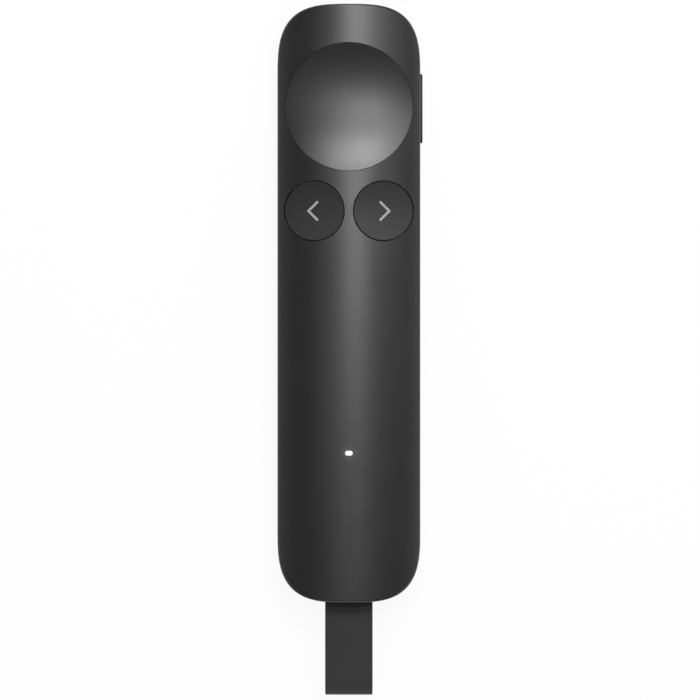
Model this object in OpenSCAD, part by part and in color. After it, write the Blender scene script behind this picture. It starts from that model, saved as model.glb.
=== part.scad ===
// Wireless presentation clicker.
// The origin is the centre of the face it rests on. +Y points to the pointer dish, +X to the side
// key and +Z up. All lengths are in millimetres.

/* [Body] */
// Length of the body
body_l = 131; // [124:0.5:142]
// Width of the body
body_w = 31.3; // [30.6:0.1:36]
// Height of the crown above the lower edges of the key caps
crown_rise = 3.9; // [3.6:0.1:6]
// Radius of the crown across the width
crown_r = 32; // [27:0.5:60]
// Length of each rounded end
end_l = 16.1; // [13:0.1:20]
// Exponent of the rounded ends: 2 is an ellipse and more is squarer
end_n = 3.2; // [2.6:0.1:4]
// Rounding of the top edge
top_edge_r = 0.5; // [0.4:0.05:1.1]
// Rounding of the bottom edge, which ends at the seam between the shells
bottom_edge_r = 4; // [3.4:0.1:4.6]
// Wall of both shells
wall = 1.4; // [1.2:0.05:1.6]

/* [Base pad] */
// Thickness of the pad
pad_t = 0.6; // [0.4:0.05:0.9]
// Part of the pad that stands below the bottom shell
pad_proud = 0.3; // [0.15:0.05:0.4]
// Distance from the body's outline to the pad's
pad_inset = 4.8; // [4.7:0.1:6]

/* [Pointer dish] */
// Radius of the dish cap
dish_r = 14; // [12:0.1:14.4]
// Depth of the dish below the crown
dish_depth = 1.8; // [0.6:0.05:2.1]
// Gap around the dish cap
dish_gap = 0.08; // [0.06:0.01:0.25]
// Shell between the front end and the dish opening
dish_margin = 8.42; // [7.5:0.1:12]
// Travel of the dish cap
dish_travel = 0.35; // [0.2:0.05:0.5]

/* [Back and next keys] */
// Radius of a key cap
key_r = 6.45; // [5.6:0.05:6.7]
// Depth of a key's hollow
key_depth = 0.6; // [0.2:0.05:0.8]
// Drop of a key's rim below the crown
key_sink = 0.1; // [0:0.05:0.25]
// Gap around a key cap
key_gap = 0.2; // [0.1:0.01:0.3]
// Shell between the two key openings
key_web = 1.84; // [1.4:0.1:2.4]
// Shell between the dish opening and a key opening
dish_key_web = 3.3; // [3:0.1:5]
// Travel of a key cap
key_travel = 0.4; // [0.2:0.05:0.5]

/* [Chevrons] */
// Height of a chevron along the body
chevron_h = 4.5; // [3:0.1:6]
// Width of a chevron's stroke
chevron_stroke = 0.57; // [0.3:0.05:0.9]
// Shift of a chevron outwards from its key's centre
chevron_shift = 0.33; // [0:0.05:0.5]
// Thickness of the inlaid chevrons
chevron_t = 0.25; // [0.15:0.05:0.4]

/* [Side key] */
// Length of the side key
side_key_l = 15.2; // [10:0.1:17]
// Height of the side key
side_key_h = 2.9; // [2.2:0.1:3]
// Part of the side key that stands out of the body
side_key_proud = 0.5; // [0.3:0.05:0.9]
// Gap around the side key
side_key_gap = 0.15; // [0.1:0.01:0.2]
// Travel of the side key
side_travel = 0.35; // [0.2:0.05:0.45]

/* [Status light] */
// Distance from the rear end to the status light
light_from_rear = 32.7; // [28:0.1:36]
// Diameter of each light dot
light_d = 1.1; // [0.8:0.05:1.6]
// Distance between the centres of the two dots
light_pitch = 0.6; // [0.4:0.05:1]

/* [Battery and board] */
// Length of the battery
battery_l = 40; // [34:0.5:42]
// Width of the battery
battery_w = 20; // [16:0.5:20.4]
// Thickness of the battery
battery_t = 4; // [3.4:0.1:4.6]
// Thickness of the tape under the battery
tape_t = 0.2; // [0.1:0.05:0.3]
// Thickness of the main board
board_t = 0.8; // [0.6:0.1:1]
// Thickness of the key guide plate
plate_t = 0.8; // [0.6:0.1:1]
// Thickness of the chassis under the board
chassis_t = 2; // [1.6:0.1:2.3]
// Side of a tact switch's housing
switch_w = 4; // [3.4:0.1:4.6]
// Height of a tact switch's housing
switch_h = 1.3; // [1.1:0.05:1.4]
// Radius of the guide posts under the caps
post_r = 1; // [0.8:0.05:1.1]
// Running gap around guide posts and plungers
run_gap = 0.06; // [0.03:0.01:0.1]

/* [Case screws] */
// Diameter of a case screw
screw_d = 1.6; // [1.4:0.1:2]
// Diameter of a case screw's head
screw_head_d = 3; // [2.6:0.1:3.2]
// Distance of the case screws from the centre line
screw_x = 8; // [7.4:0.1:8.4]
// Radius of the screw posts and bosses
boss_r = 1.9; // [1.8:0.05:2.1]

/* [Receiver and dock] */
// Width of the receiver
receiver_w = 14; // [13:0.1:15]
// Height of the receiver
receiver_h = 6.4; // [6:0.1:6.6]
// Length of the receiver without its plug
receiver_l = 13.1; // [12:0.1:15]
// Gap between the receiver and the dock sleeve
dock_gap = 0.2; // [0.1:0.05:0.3]
// Wall of the dock sleeve
sleeve_t = 0.7; // [0.5:0.05:0.8]
// Depth of the receiver's end face inside the rear end
receiver_recess = 0.4; // [0.2:0.05:0.8]
// Length of the receiver's plug
plug_l = 6.5; // [6:0.05:6.7]

/* [Strap] */
// Width of the strap
strap_w = 10.4; // [8:0.1:11]
// Thickness of the strap
strap_t = 0.7; // [0.5:0.05:0.9]
// Reach of the strap loop beyond the rear end
strap_reach = 20.4; // [16:0.1:40]
// Inner radius of the strap's far fold
fold_r = 2.7; // [2.6:0.05:3.2]
// Radius of the pin that the strap turns on
strap_pin_r = 0.9; // [0.7:0.05:1]
// Distance from the receiver's end face to the strap pin
strap_pin_inset = 2.2; // [2.1:0.05:2.6]

/* [Hidden] */
$fn = 72;

// Plan of the body
half_w = body_w/2;
front_y = body_l/2;
rear_y = -front_y;
straight_y = front_y - end_l;
inner_w = half_w - wall;
outline_steps = 12;
cavity_steps = 9;
crown_strips = 12;
edge_steps = 3;
bottom_steps = 5;

// Heights, from the resting face up
shell_z = pad_proud;
floor_z = shell_z + wall;
seam_z = shell_z + bottom_edge_r;
battery_gap = 0.3;
plate_gap = 0.3;
cap_clearance = 0.1;
battery_z = floor_z + tape_t;
board_z = battery_z + battery_t + battery_gap;
board_top = board_z + board_t;
chassis_z = board_z - chassis_t;
plate_z = board_top + plate_gap;
plate_top = plate_z + plate_t;
cap_z = plate_top + max(key_travel, dish_travel) + cap_clearance;
body_h = cap_z + crown_rise;
high_z = body_h + 5;

// Places of the caps
dish_hole_r = dish_r + dish_gap;
key_hole_r = key_r + key_gap;
dish_y = front_y - dish_margin - dish_hole_r;
key_x = key_hole_r + key_web/2;
dish_key_reach = dish_hole_r + dish_key_web + key_hole_r;
key_y = dish_y - sqrt(dish_key_reach*dish_key_reach - key_x*key_x);
light_y = rear_y + light_from_rear;

// Undersides of the caps
dish_roof_t = 1.3;
key_roof_t = 1.3;
cap_skirt_t = 1.35;
dish_post_reach = 9.5;
key_post_reach = 4;
stem_r = 1.2;
post_end_z = board_top + max(key_travel, dish_travel) + cap_clearance;
lug_out = 1;
lug_gap = 0.05;
lug_bite = 0.6;
dish_lug_w = 6;
key_lug_w = 4.2;

// Tact switches
switch_floor = 0.17;
dome_t = 0.08;
dome_r = 1.5;
dome_rise = 0.5;
plunger_r = 0.85;
plunger_flange_r = 1.25;
plunger_flange_t = 0.2;
switch_roof_t = 0.35;
plunger_z = board_top + switch_floor + dome_rise + dome_t;
plunger_top = board_top + switch_h + max(key_travel, dish_travel) + 0.05;

// Case screws
bosses_clear = 0.45;
screw_head_t = 0.9;
screw_head_z = shell_z + pad_t - pad_proud + 0.1;
screw_gap = 0.05;
screw_top = board_top + 2.4;
front_boss_reach = dish_hole_r + boss_r + bosses_clear;
screw_front_y = dish_y + sqrt(front_boss_reach*front_boss_reach - screw_x*screw_x);
screw_mid_y = key_y - key_hole_r - lug_out - boss_r - bosses_clear;

// Receiver, dock and socket, which share one axis at the height of the board's underside
dock_z = board_z;
receiver_end_y = rear_y + receiver_recess;
receiver_front_y = receiver_end_y + receiver_l;
receiver_round = 1.2;
dock_w = receiver_w + 2*dock_gap;
dock_h = receiver_h + 2*dock_gap;
sleeve_w = dock_w + 2*sleeve_t;
sleeve_h = dock_h + 2*sleeve_t;
sleeve_end_y = rear_y + 0.6;
sleeve_front_gap = 0.1;
sleeve_front_y = receiver_front_y + sleeve_front_gap + sleeve_t;
plug_w = 8.25;
plug_h = 2.4;
plug_wall = 0.25;
plug_root = 1.2;
socket_w = 8.94;
socket_h = 3.26;
socket_wall = 0.3;
socket_l = 7.35;
socket_y = receiver_front_y + 0.2;
socket_back_y = socket_y + socket_l;
tongue_w = 6.69;
tongue_t = 0.7;
tongue_setback = 1.1;
insert_slot_gap = 0.1;
cap_l = 5.6;
cap_split_y = receiver_end_y + cap_l;
receiver_wall = 0.8;
receiver_board_t = 0.6;

// Board and battery
board_side_gap = 2.25;
board_w = 2*(inner_w - board_side_gap);
board_rear_y = sleeve_front_y + 0.3;
board_front_gap = 2.3;
board_front_y = front_y - wall - board_front_gap;
screw_rear_y = board_rear_y + 9.5;
battery_y = screw_rear_y + boss_r + 2;
battery_front_y = battery_y + battery_l;
battery_clear = 0.3;
lead_l = 2.5;
lead_r = 0.4;
lead_pitch = 2;
connector_w = 5;
connector_plug_l = 2.1;
connector_socket_l = 3;
connector_h = 1.8;
connector_lip = 0.5;
connector_slot_gap = 0.5;
connector_y = battery_front_y + lead_l;
connector_end_y = connector_y + connector_plug_l + connector_socket_l;
motor_r = 4;
motor_h = 2.6;
motor_y = key_y + 1;
plate_side_gap = 0.4;
plate_front_reach = 11.4;
plate_rear_reach = 6.6;
plate_half_w = board_w/2 - plate_side_gap;
board_screw_d = 1.2;
board_screw_head_d = 2;
board_screw_head_t = 0.4;
board_screw_inset = 1.5;
board_screw_side_reach = 10.3;
board_screw_lug_gap = 0.35;
board_screw_rib = 1;
board_screw_x = board_w/2 - board_screw_inset;
board_screw_side_y = key_y + board_screw_side_reach;
board_screw_mid_x = connector_w/2 + connector_slot_gap + board_screw_rib + board_screw_d/2;
board_screw_mid_y = key_y - key_hole_r - lug_out - board_screw_lug_gap - board_screw_head_d/2;

// Components on the board
chip_t = 0.85;
radio_chip_w = 6;
power_chip_w = 4;
power_chip_reach = 6;
shield_w = 11;
shield_l = 9;
shield_h = 1.5;
shield_t = 0.2;
sensor_w = 3;
sensor_l = 2.5;
sensor_x = -5.5;
sensor_reach = 6.5;
sensor_gap = 2;
sensor_y = screw_mid_y - sensor_reach;
shield_y = sensor_y - sensor_l/2 - sensor_gap - shield_l/2;
antenna_w = 1.6;
antenna_l = 5;
antenna_h = 1.1;
antenna_inset = 2.5;
led_w = 1.8;
led_l = 0.9;
led_h = 0.6;
passive_w = 1.2;
passive_l = 0.7;
passive_h = 0.6;
passive_x = 6.5;
passive_pitch = 2.6;
passives_in_row = 6;

// Side key and its switch
side_key_back = 0.3;
side_key_y = dish_y - side_key_back;
side_key_z = seam_z + side_key_gap + side_key_h/2;
side_space_reach = side_key_l/2 + side_key_gap;
side_space_half_h = side_key_h/2 + side_key_gap;
side_corner_h = 0.4*side_space_half_h;
side_corner_gap = 0.04;
side_corner_sink = 0.012;
side_flange_gap = 0.1;
side_flange_t = 1.05;
side_flange_out = 1;
side_flange_x = inner_w - side_flange_gap;
side_back_x = side_flange_x - side_flange_t;
side_switch_h = 1.5;
side_switch_l = 2.6;
side_switch_x = board_w/2;
side_plunger_r = 0.45;
side_plunger_z = board_z - side_switch_h/2;
side_plunger_in = 1.5;

// Alignment rib along the seam, inside the top shell's wall
rib_gap = 0.08;
rib_t = 0.55;
rib_h = 0.7;

// Strap loop, from the pin in the receiver to its far fold
strap_pin_gap = 0.08;
strap_side_gap = 0.3;
strap_floor_gap = 0.1;
strap_pin_y = receiver_end_y + strap_pin_inset;
strap_in_r = strap_pin_r + strap_pin_gap;
fold_y = rear_y - strap_reach + fold_r + strap_t;
fold_z = strap_floor_gap + fold_r + strap_t;
pocket_h = receiver_h - 1.2;

// Height of the crown over a place across the width
function crown_z(x) = body_h - crown_r + sqrt(crown_r*crown_r - x*x);

// A point on a rounded end, and the outward direction there
function end_point(angle) =
  let (reach = pow(pow(abs(cos(angle))/half_w, end_n) + pow(abs(sin(angle))/end_l, end_n), -1/end_n))
  [reach*cos(angle), reach*sin(angle)];
function end_normal(p) =
  let (g = [pow(p.x/half_w, end_n - 1)/half_w, pow(p.y/end_l, end_n - 1)/end_l])
  g/norm(g);
function front_quarter(inset, steps) =
  [for (i = [0:steps])
    let (p = end_point(90*i/steps), q = p - inset*end_normal(p))
    [q.x, straight_y + q.y]];

// Right half of the body's outline, from the rear tip to the front tip, and the closed outline
function half_outline(inset, steps) =
  let (quarter = front_quarter(inset, steps))
  concat([for (i = [steps:-1:0]) [quarter[i].x, -quarter[i].y]], quarter);
function outline(inset, steps) =
  let (half = half_outline(inset, steps))
  concat(half, [for (i = [len(half) - 2:-1:1]) [-half[i].x, half[i].y]]);

// Two triangles for a four-sided face whose corners run anticlockwise seen from outside
function two_faces(a, b, c, d) = [[a, d, c], [a, c, b]];

// A solid of stacked outlines. Each level is [inset, height on the centre line, 1 where the level
// follows the crown]. The top is a crowned face where its level follows the crown.
module stacked_form(levels, steps, strips) {
  half = half_outline(0, steps);
  rows = len(half) - 1;
  ring = 2*rows;
  top = len(levels) - 1;
  crowned = levels[top][2] == 1;
  function level_z(level, x) = level[1] + level[2]*(crown_z(x) - body_h);
  ring_points = [for (level = levels, p = outline(level[0], steps)) [p.x, p.y, level_z(level, p.x)]];
  top_half = half_outline(levels[top][0], steps);
  fill_points = crowned
    ? [for (k = [1:rows - 1], i = [1:strips - 1])
        let (x = top_half[k].x*(2*i/strips - 1))
        [x, top_half[k].y, level_z(levels[top], x)]]
    : [];
  fill_base = len(ring_points);
  function row(k, i) =
    i == 0 ? top*ring + ring - k :
    i == strips ? top*ring + k :
    fill_base + (k - 1)*(strips - 1) + i - 1;
  walls = [for (l = [0:top - 1], j = [0:ring - 1])
    let (n = (j + 1) % ring)
    each two_faces(l*ring + j, l*ring + n, (l + 1)*ring + n, (l + 1)*ring + j)];
  crown_faces = crowned
    ? concat(
        [for (k = [1:rows - 2], i = [0:strips - 1])
          each two_faces(row(k, i), row(k, i + 1), row(k + 1, i + 1), row(k + 1, i))],
        [for (i = [0:strips - 1]) [top*ring, row(1, i), row(1, i + 1)]],
        [for (i = [0:strips - 1]) [top*ring + rows, row(rows - 1, i + 1), row(rows - 1, i)]])
    : [[for (j = [ring - 1:-1:0]) top*ring + j]];
  polyhedron(
    points = concat(ring_points, fill_points),
    faces = concat([[for (j = [0:ring - 1]) j]], walls, crown_faces));
}

// A block whose top is the crown, lowered by sink and hollowed by depth within radius r
module dished_block(x0, y0, r, sink, depth, z0, rings, sectors) {
  reach = r + 0.4;
  function top_z(rho, angle) =
    crown_z(x0 + rho*cos(angle)) - sink - depth*(1 - rho*rho/(r*r));
  ring_points = [for (k = [1:rings], s = [0:sectors - 1])
    let (rho = reach*k/rings, angle = 360*s/sectors)
    [x0 + rho*cos(angle), y0 + rho*sin(angle), top_z(rho, angle)]];
  base_points = [for (s = [0:sectors - 1])
    let (angle = 360*s/sectors)
    [x0 + reach*cos(angle), y0 + reach*sin(angle), z0]];
  function at(k, s) = 1 + (k - 1)*sectors + s % sectors;
  polyhedron(
    points = concat([[x0, y0, top_z(0, 0)]], ring_points, base_points),
    faces = concat(
      [for (s = [0:sectors - 1]) [0, at(1, s + 1), at(1, s)]],
      [for (k = [1:rings - 1], s = [0:sectors - 1])
        each two_faces(at(k, s), at(k + 1, s), at(k + 1, s + 1), at(k, s + 1))],
      [for (s = [0:sectors - 1])
        each two_faces(at(rings + 1, s), at(rings + 1, s + 1), at(rings, s + 1), at(rings, s))],
      [[for (s = [0:sectors - 1]) at(rings + 1, s)]]));
}

// A slab between two heights with the body's outline, drawn in by an inset
module outline_slab(inset, z0, z1, steps) {
  translate([0, 0, z0])
    linear_extrude(z1 - z0)
      polygon(outline(inset, steps));
}

// A box given by its lowest and highest corners
module box(low, high) {
  translate(low)
    cube(high - low);
}

// An upright cylinder between two heights
module post(x, y, r, z0, z1) {
  translate([x, y, z0])
    cylinder(r = r, h = z1 - z0);
}

module rounded_rect(w, h, r) {
  square([w - 2*r, h], center = true);
  square([w, h - 2*r], center = true);
  for (sx = [-1, 1], sy = [-1, 1])
    translate([sx*(w/2 - r), sy*(h/2 - r)])
      circle(r = r);
}

module stadium(w, h) {
  square([w - h, h], center = true);
  for (s = [-1, 1])
    translate([s*(w - h)/2, 0])
      circle(d = h);
}

// Stands a flat shape up across the dock's axis, between two places along the body
module along_dock(y0, y1) {
  translate([0, y1, dock_z])
    rotate([90, 0, 0])
      linear_extrude(y1 - y0)
        children();
}

module at_case_screws() {
  for (side = [-1, 1], y = [screw_rear_y, screw_mid_y, screw_front_y])
    translate([side*screw_x, y, 0])
      children();
}

module at_board_screws() {
  for (side = [-1, 1], place = [[board_screw_x, board_screw_side_y],
                                [board_screw_mid_x, board_screw_mid_y]])
    translate([side*place.x, place.y, 0])
      children();
}

// Space of the side key through the wall, round at its top and open at the seam
module side_key_notch() {
  translate([inner_w - 0.5, side_key_y, side_key_z])
    rotate([90, 0, 90])
      linear_extrude(wall + 1.5) {
        stadium(2*side_space_reach, 2*side_space_half_h);
        translate([-side_space_reach, -side_space_half_h - 1])
          square([2*side_space_reach, side_space_half_h + 1]);
      }
}

// Corners of the bottom shell that fill the space under the round ends of the side key
module side_key_corners() {
  corner_l = 0.75*side_space_half_h;
  for (y = [side_space_reach - corner_l, side_corner_gap - side_space_reach])
    difference() {
      box([inner_w + side_corner_sink, side_key_y + y, seam_z - 0.3],
          [half_w - side_corner_sink, side_key_y + y + corner_l - side_corner_gap,
           seam_z + side_corner_h]);
      side_bar(inner_w - 1, half_w + 1, 2*side_space_reach, 2*side_space_half_h);
    }
}

module top_shell() {
  color([0.2, 0.2, 0.21])
    difference() {
      stacked_form(concat(
        [[0, seam_z, 0]],
        [for (i = [0:edge_steps])
          let (a = 90*i/edge_steps)
          [top_edge_r*(1 - cos(a)), body_h - top_edge_r*(1 - sin(a)), 1]]),
        outline_steps, crown_strips);
      difference() {
        stacked_form([[wall, seam_z - 1, 0], [wall, body_h - wall, 1]], cavity_steps, crown_strips);
        at_case_screws()
          post(0, 0, boss_r, board_z, high_z);
      }
      at_case_screws()
        post(0, 0, screw_d/2, board_z - 1, screw_top + 0.3);
      post(0, dish_y, dish_hole_r, cap_z - 1, high_z);
      for (side = [-1, 1])
        post(side*key_x, key_y, key_hole_r, cap_z - 1, high_z);
      for (side = [-1, 1])
        post(side*light_pitch/2, light_y, light_d/2, cap_z, high_z);
      side_key_notch();
      along_dock(rear_y - 1, sleeve_front_y)
        rounded_rect(sleeve_w, sleeve_h, receiver_round + dock_gap + sleeve_t);
    }
}

module bottom_shell() {
  inner_round = bottom_edge_r - wall;
  color([0.15, 0.15, 0.16])
    difference() {
      union() {
        difference() {
          stacked_form(
            [for (i = [0:bottom_steps])
              let (a = 90 - 90*i/bottom_steps)
              [bottom_edge_r*(1 - cos(a)), shell_z + bottom_edge_r*(1 - sin(a)), 0]],
            outline_steps, crown_strips);
          difference() {
            stacked_form(concat(
              [for (i = [0:bottom_steps - 1])
                let (a = 90 - 90*i/(bottom_steps - 1))
                [bottom_edge_r - inner_round*cos(a), seam_z - inner_round*sin(a), 0]],
              [[wall, seam_z + 1, 0]]),
              cavity_steps, crown_strips);
            at_case_screws()
              post(0, 0, boss_r, shell_z, chassis_z);
          }
        }
        difference() {
          outline_slab(wall + rib_gap, seam_z - 1, seam_z + rib_h, cavity_steps);
          outline_slab(wall + rib_gap + rib_t, seam_z - 2, seam_z + rib_h + 1, cavity_steps);
        }
        difference() {
          outline_slab(wall - 0.3, seam_z - 1, seam_z - 0.2, cavity_steps);
          outline_slab(wall + rib_gap + rib_t, seam_z - 2, seam_z + 1, cavity_steps);
        }
        side_key_corners();
      }
      outline_slab(pad_inset, shell_z - 1, shell_z + pad_t - pad_proud, outline_steps);
      at_case_screws() {
        post(0, 0, screw_d/2 + screw_gap, shell_z, high_z);
        post(0, 0, screw_head_d/2 + screw_gap, shell_z, screw_head_z + screw_head_t);
      }
      side_rib_reach = side_key_l/2 + side_flange_out + 0.3;
      box([side_back_x - side_travel - 0.3, side_key_y - side_rib_reach, seam_z - 0.2],
          [half_w - wall + 0.001, side_key_y + side_rib_reach, high_z]);
      along_dock(rear_y - 1, sleeve_front_y)
        rounded_rect(sleeve_w, sleeve_h, receiver_round + dock_gap + sleeve_t);
    }
}

module base_pad() {
  color([0.08, 0.08, 0.09])
    outline_slab(pad_inset + 0.05, 0, pad_t, outline_steps);
}

module case_screws() {
  color([0.6, 0.6, 0.62])
    at_case_screws()
      difference() {
        union() {
          post(0, 0, screw_head_d/2, screw_head_z, screw_head_z + screw_head_t);
          post(0, 0, screw_d/2 - 0.03, screw_head_z, screw_top);
        }
        post(0, 0, screw_d/4, screw_head_z - 1, screw_head_z + screw_head_t*0.6);
      }
}

// A push cap at x0, y0: hollowed top, skirt, two guide posts, a stem and two lugs
module push_cap(x0, y0, r, gap, sink, depth, roof_t, post_reach, lug_w, rings, sectors) {
  difference() {
    intersection() {
      dished_block(x0, y0, r, sink, depth, post_end_z, rings, sectors);
      post(x0, y0, r, post_end_z, high_z);
    }
    difference() {
      union() {
        post(x0, y0, r + 1, post_end_z - 1, cap_z);
        intersection() {
          post(x0, y0, r - cap_skirt_t, cap_z - 1, high_z);
          translate([0, y0 + r, body_h - crown_r - sink - depth - roof_t])
            rotate([90, 0, 0])
              cylinder(r = crown_r, h = 2*r, $fn = 360);
        }
      }
      for (side = [-1, 1])
        post(x0, y0 + side*post_reach, post_r, post_end_z - 2, high_z);
      post(x0, y0, stem_r, plunger_top, high_z);
    }
  }
  lug_top = crown_z(abs(x0) + lug_w/2) - wall - lug_gap;
  for (side = [-1, 1])
    translate([x0 - lug_w/2, y0 + (side > 0 ? r - lug_bite : -r - gap - lug_out), cap_z])
      cube([lug_w, gap + lug_out + lug_bite, lug_top - cap_z]);
}

module pointer_dish() {
  color([0.19, 0.19, 0.2])
    push_cap(0, dish_y, dish_r, dish_gap, 0, dish_depth, dish_roof_t, dish_post_reach, dish_lug_w, 6, 40);
}

// Space above the chevron's underside: two arms at 45 degrees with square ends. side is -1 for the
// back key and 1 for the next key
module chevron_space(side) {
  reach = chevron_h/2;
  cut = chevron_stroke/sqrt(2);
  tip = chevron_shift + (reach + cut)/2;
  difference() {
    translate([side*key_x, key_y, cap_z])
      linear_extrude(high_z - cap_z)
        polygon([
          [side*tip, 0], [side*(tip - reach), reach], [side*(tip - reach - cut), reach - cut],
          [side*(tip - 2*cut), 0],
          [side*(tip - reach - cut), cut - reach], [side*(tip - reach), -reach]]);
    dished_block(side*key_x, key_y, key_r, key_sink + chevron_t, key_depth, cap_z - 1, 4, 32);
  }
}

module key_cap(side) {
  color([0.13, 0.13, 0.14])
    difference() {
      push_cap(side*key_x, key_y, key_r, key_gap, key_sink, key_depth, key_roof_t, key_post_reach,
        key_lug_w, 4, 32);
      chevron_space(side);
    }
}

module key_icon(side) {
  color([0.62, 0.62, 0.62])
    intersection() {
      chevron_space(side);
      dished_block(side*key_x, key_y, key_r, key_sink, key_depth, cap_z - 1, 4, 32);
    }
}

// A bar with round ends that stands on edge along the side wall
module side_bar(x0, x1, l, h) {
  translate([x0, side_key_y, side_key_z])
    rotate([90, 0, 90])
      linear_extrude(x1 - x0)
        stadium(l, h);
}

module side_key() {
  color([0.12, 0.12, 0.13]) {
    side_bar(side_flange_x, half_w + side_key_proud, side_key_l, side_key_h);
    side_bar(side_back_x, side_flange_x, side_key_l + 2*side_flange_out, side_key_h);
  }
}

module key_guide_plate() {
  plate_rear_y = key_y - plate_rear_reach;
  tab_half_w = board_screw_mid_x + board_screw_head_d/2;
  tab_y = board_screw_mid_y - board_screw_head_d/2 - 0.5;
  color([0.3, 0.32, 0.36])
    difference() {
      union() {
        box([-plate_half_w, plate_rear_y, plate_z], [plate_half_w, dish_y + plate_front_reach, plate_top]);
        box([-tab_half_w, tab_y, plate_z], [tab_half_w, plate_rear_y + 0.5, plate_top]);
        at_board_screws()
          post(0, 0, board_screw_head_d/2, board_top, plate_top);
      }
      for (place = [[0, dish_y, dish_post_reach], [-key_x, key_y, key_post_reach],
                    [key_x, key_y, key_post_reach]]) {
        box([place.x - switch_w/2 - 0.2, place.y - switch_w/2 - 0.2, plate_z - 1],
            [place.x + switch_w/2 + 0.2, place.y + switch_w/2 + 0.2, plate_top + 1]);
        for (side = [-1, 1])
          post(place.x, place.y + side*place[2], post_r + run_gap, plate_z - 1, plate_top + 1);
      }
      at_board_screws()
        post(0, 0, board_screw_d/2 + screw_gap, board_top - 1, high_z);
    }
}

module chassis() {
  window_w = battery_w + 2*battery_clear;
  rail_t = (board_w - window_w)/2;
  slot_half_w = connector_w/2 + connector_slot_gap;
  front_window_half_w = 7.5;
  front_window_rear = 8.5;
  front_window_front = 9;
  color([0.35, 0.35, 0.37])
    difference() {
      union() {
        intersection() {
          outline_slab(wall + board_side_gap - 0.3, chassis_z, board_z, outline_steps);
          box([-half_w, board_rear_y, 0], [half_w, front_y, high_z]);
        }
        for (side = [-1, 1])
          translate([side*(window_w + rail_t)/2, (battery_y + battery_front_y)/2, battery_z])
            linear_extrude(board_z - battery_z)
              square([rail_t, battery_l], center = true);
      }
      box([-window_w/2, battery_y - battery_clear, 0],
          [window_w/2, battery_front_y + battery_clear, high_z]);
      box([-slot_half_w, battery_y, 0], [slot_half_w, connector_end_y + 0.4, high_z]);
      box([-socket_w/2 - 0.4, board_rear_y - 1, 0], [socket_w/2 + 0.4, socket_back_y + 0.4, high_z]);
      post(0, motor_y, motor_r + 0.2, 0, high_z);
      box([-front_window_half_w, key_y + front_window_rear, 0],
          [front_window_half_w, dish_y + front_window_front, high_z]);
      box([side_switch_x - side_switch_l - 0.3, side_key_y - switch_w/2 - 0.3, 0],
          [half_w, side_key_y + switch_w/2 + 0.3, high_z]);
      at_case_screws()
        post(0, 0, screw_d/2 + screw_gap, 0, high_z);
      at_board_screws()
        post(0, 0, board_screw_d/2, chassis_z + 0.5, high_z);
    }
}

module main_board() {
  color([0.05, 0.25, 0.15])
    difference() {
      intersection() {
        outline_slab(wall + board_side_gap, board_z, board_top, outline_steps);
        box([-half_w, board_rear_y, 0], [half_w, board_front_y, high_z]);
      }
      at_case_screws()
        post(0, 0, boss_r + 0.2, 0, high_z);
      at_board_screws()
        post(0, 0, board_screw_d/2 + screw_gap, 0, high_z);
      box([-socket_w/2 - 0.1, board_rear_y - 1, 0], [socket_w/2 + 0.1, socket_back_y + 0.1, high_z]);
    }
}

module board_screws() {
  color([0.75, 0.75, 0.76])
    at_board_screws() {
      post(0, 0, board_screw_head_d/2, plate_top, plate_top + board_screw_head_t);
      post(0, 0, board_screw_d/2 - 0.03, chassis_z + 0.7, plate_top);
    }
}

// A tact switch housing with its dome's chamber and its plunger's bore
module switch_housing(x0, y0) {
  color([0.1, 0.1, 0.1])
    difference() {
      box([x0 - switch_w/2, y0 - switch_w/2, board_top],
          [x0 + switch_w/2, y0 + switch_w/2, board_top + switch_h]);
      post(x0, y0, dome_r + 0.1, board_top + switch_floor, board_top + switch_h - switch_roof_t);
      post(x0, y0, plunger_r + run_gap, board_top + switch_floor, high_z);
    }
}

module switch_plunger(x0, y0) {
  color([0.85, 0.85, 0.8]) {
    post(x0, y0, plunger_r, plunger_z, plunger_top);
    post(x0, y0, plunger_flange_r, plunger_z, plunger_z + plunger_flange_t);
  }
}

// A sheet-metal dome of the given foot radius, rise and thickness, standing on its foot
module snap_dome(r, rise, t) {
  ball = (r*r + rise*rise)/(2*rise);
  sweep = asin(r/ball);
  rotate_extrude()
    polygon(concat(
      [for (i = [0:6]) let (a = sweep*i/6) [ball*sin(a), ball*cos(a) - ball + rise + t]],
      [for (i = [6:-1:0]) let (a = sweep*i/6) [ball*sin(a), ball*cos(a) - ball + rise]]));
}

module switch_dome(x0, y0) {
  color([0.8, 0.75, 0.55])
    translate([x0, y0, board_top + switch_floor])
      snap_dome(dome_r, dome_rise, dome_t);
}

module side_switch() {
  bore_x = side_switch_x - side_plunger_in - side_travel - 0.3;
  color([0.1, 0.1, 0.1])
    difference() {
      box([side_switch_x - side_switch_l, side_key_y - switch_w/2, board_z - side_switch_h],
          [side_switch_x, side_key_y + switch_w/2, board_z]);
      translate([bore_x, side_key_y, side_plunger_z])
        rotate([0, 90, 0])
          cylinder(r = side_plunger_r + run_gap, h = half_w);
    }
}

module side_plunger() {
  color([0.85, 0.85, 0.8])
    translate([side_switch_x - side_plunger_in, side_key_y, side_plunger_z])
      rotate([0, 90, 0])
        cylinder(r = side_plunger_r, h = side_back_x - side_switch_x + side_plunger_in);
}

module side_dome() {
  rise = side_travel + 0.3 - dome_t;
  color([0.8, 0.75, 0.55])
    translate([side_switch_x - side_plunger_in - side_travel - 0.3, side_key_y, side_plunger_z])
      rotate([0, 90, 0])
        snap_dome(side_plunger_r, rise*0.6, dome_t);
}

// A component of the given size standing on the board
module on_board(x0, y0, size) {
  translate([x0 - size.x/2, y0 - size.y/2, board_top])
    cube(size);
}

module status_led() {
  color([0.95, 0.95, 0.9])
    on_board(0, light_y, [led_w, led_l, led_h]);
}

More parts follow.
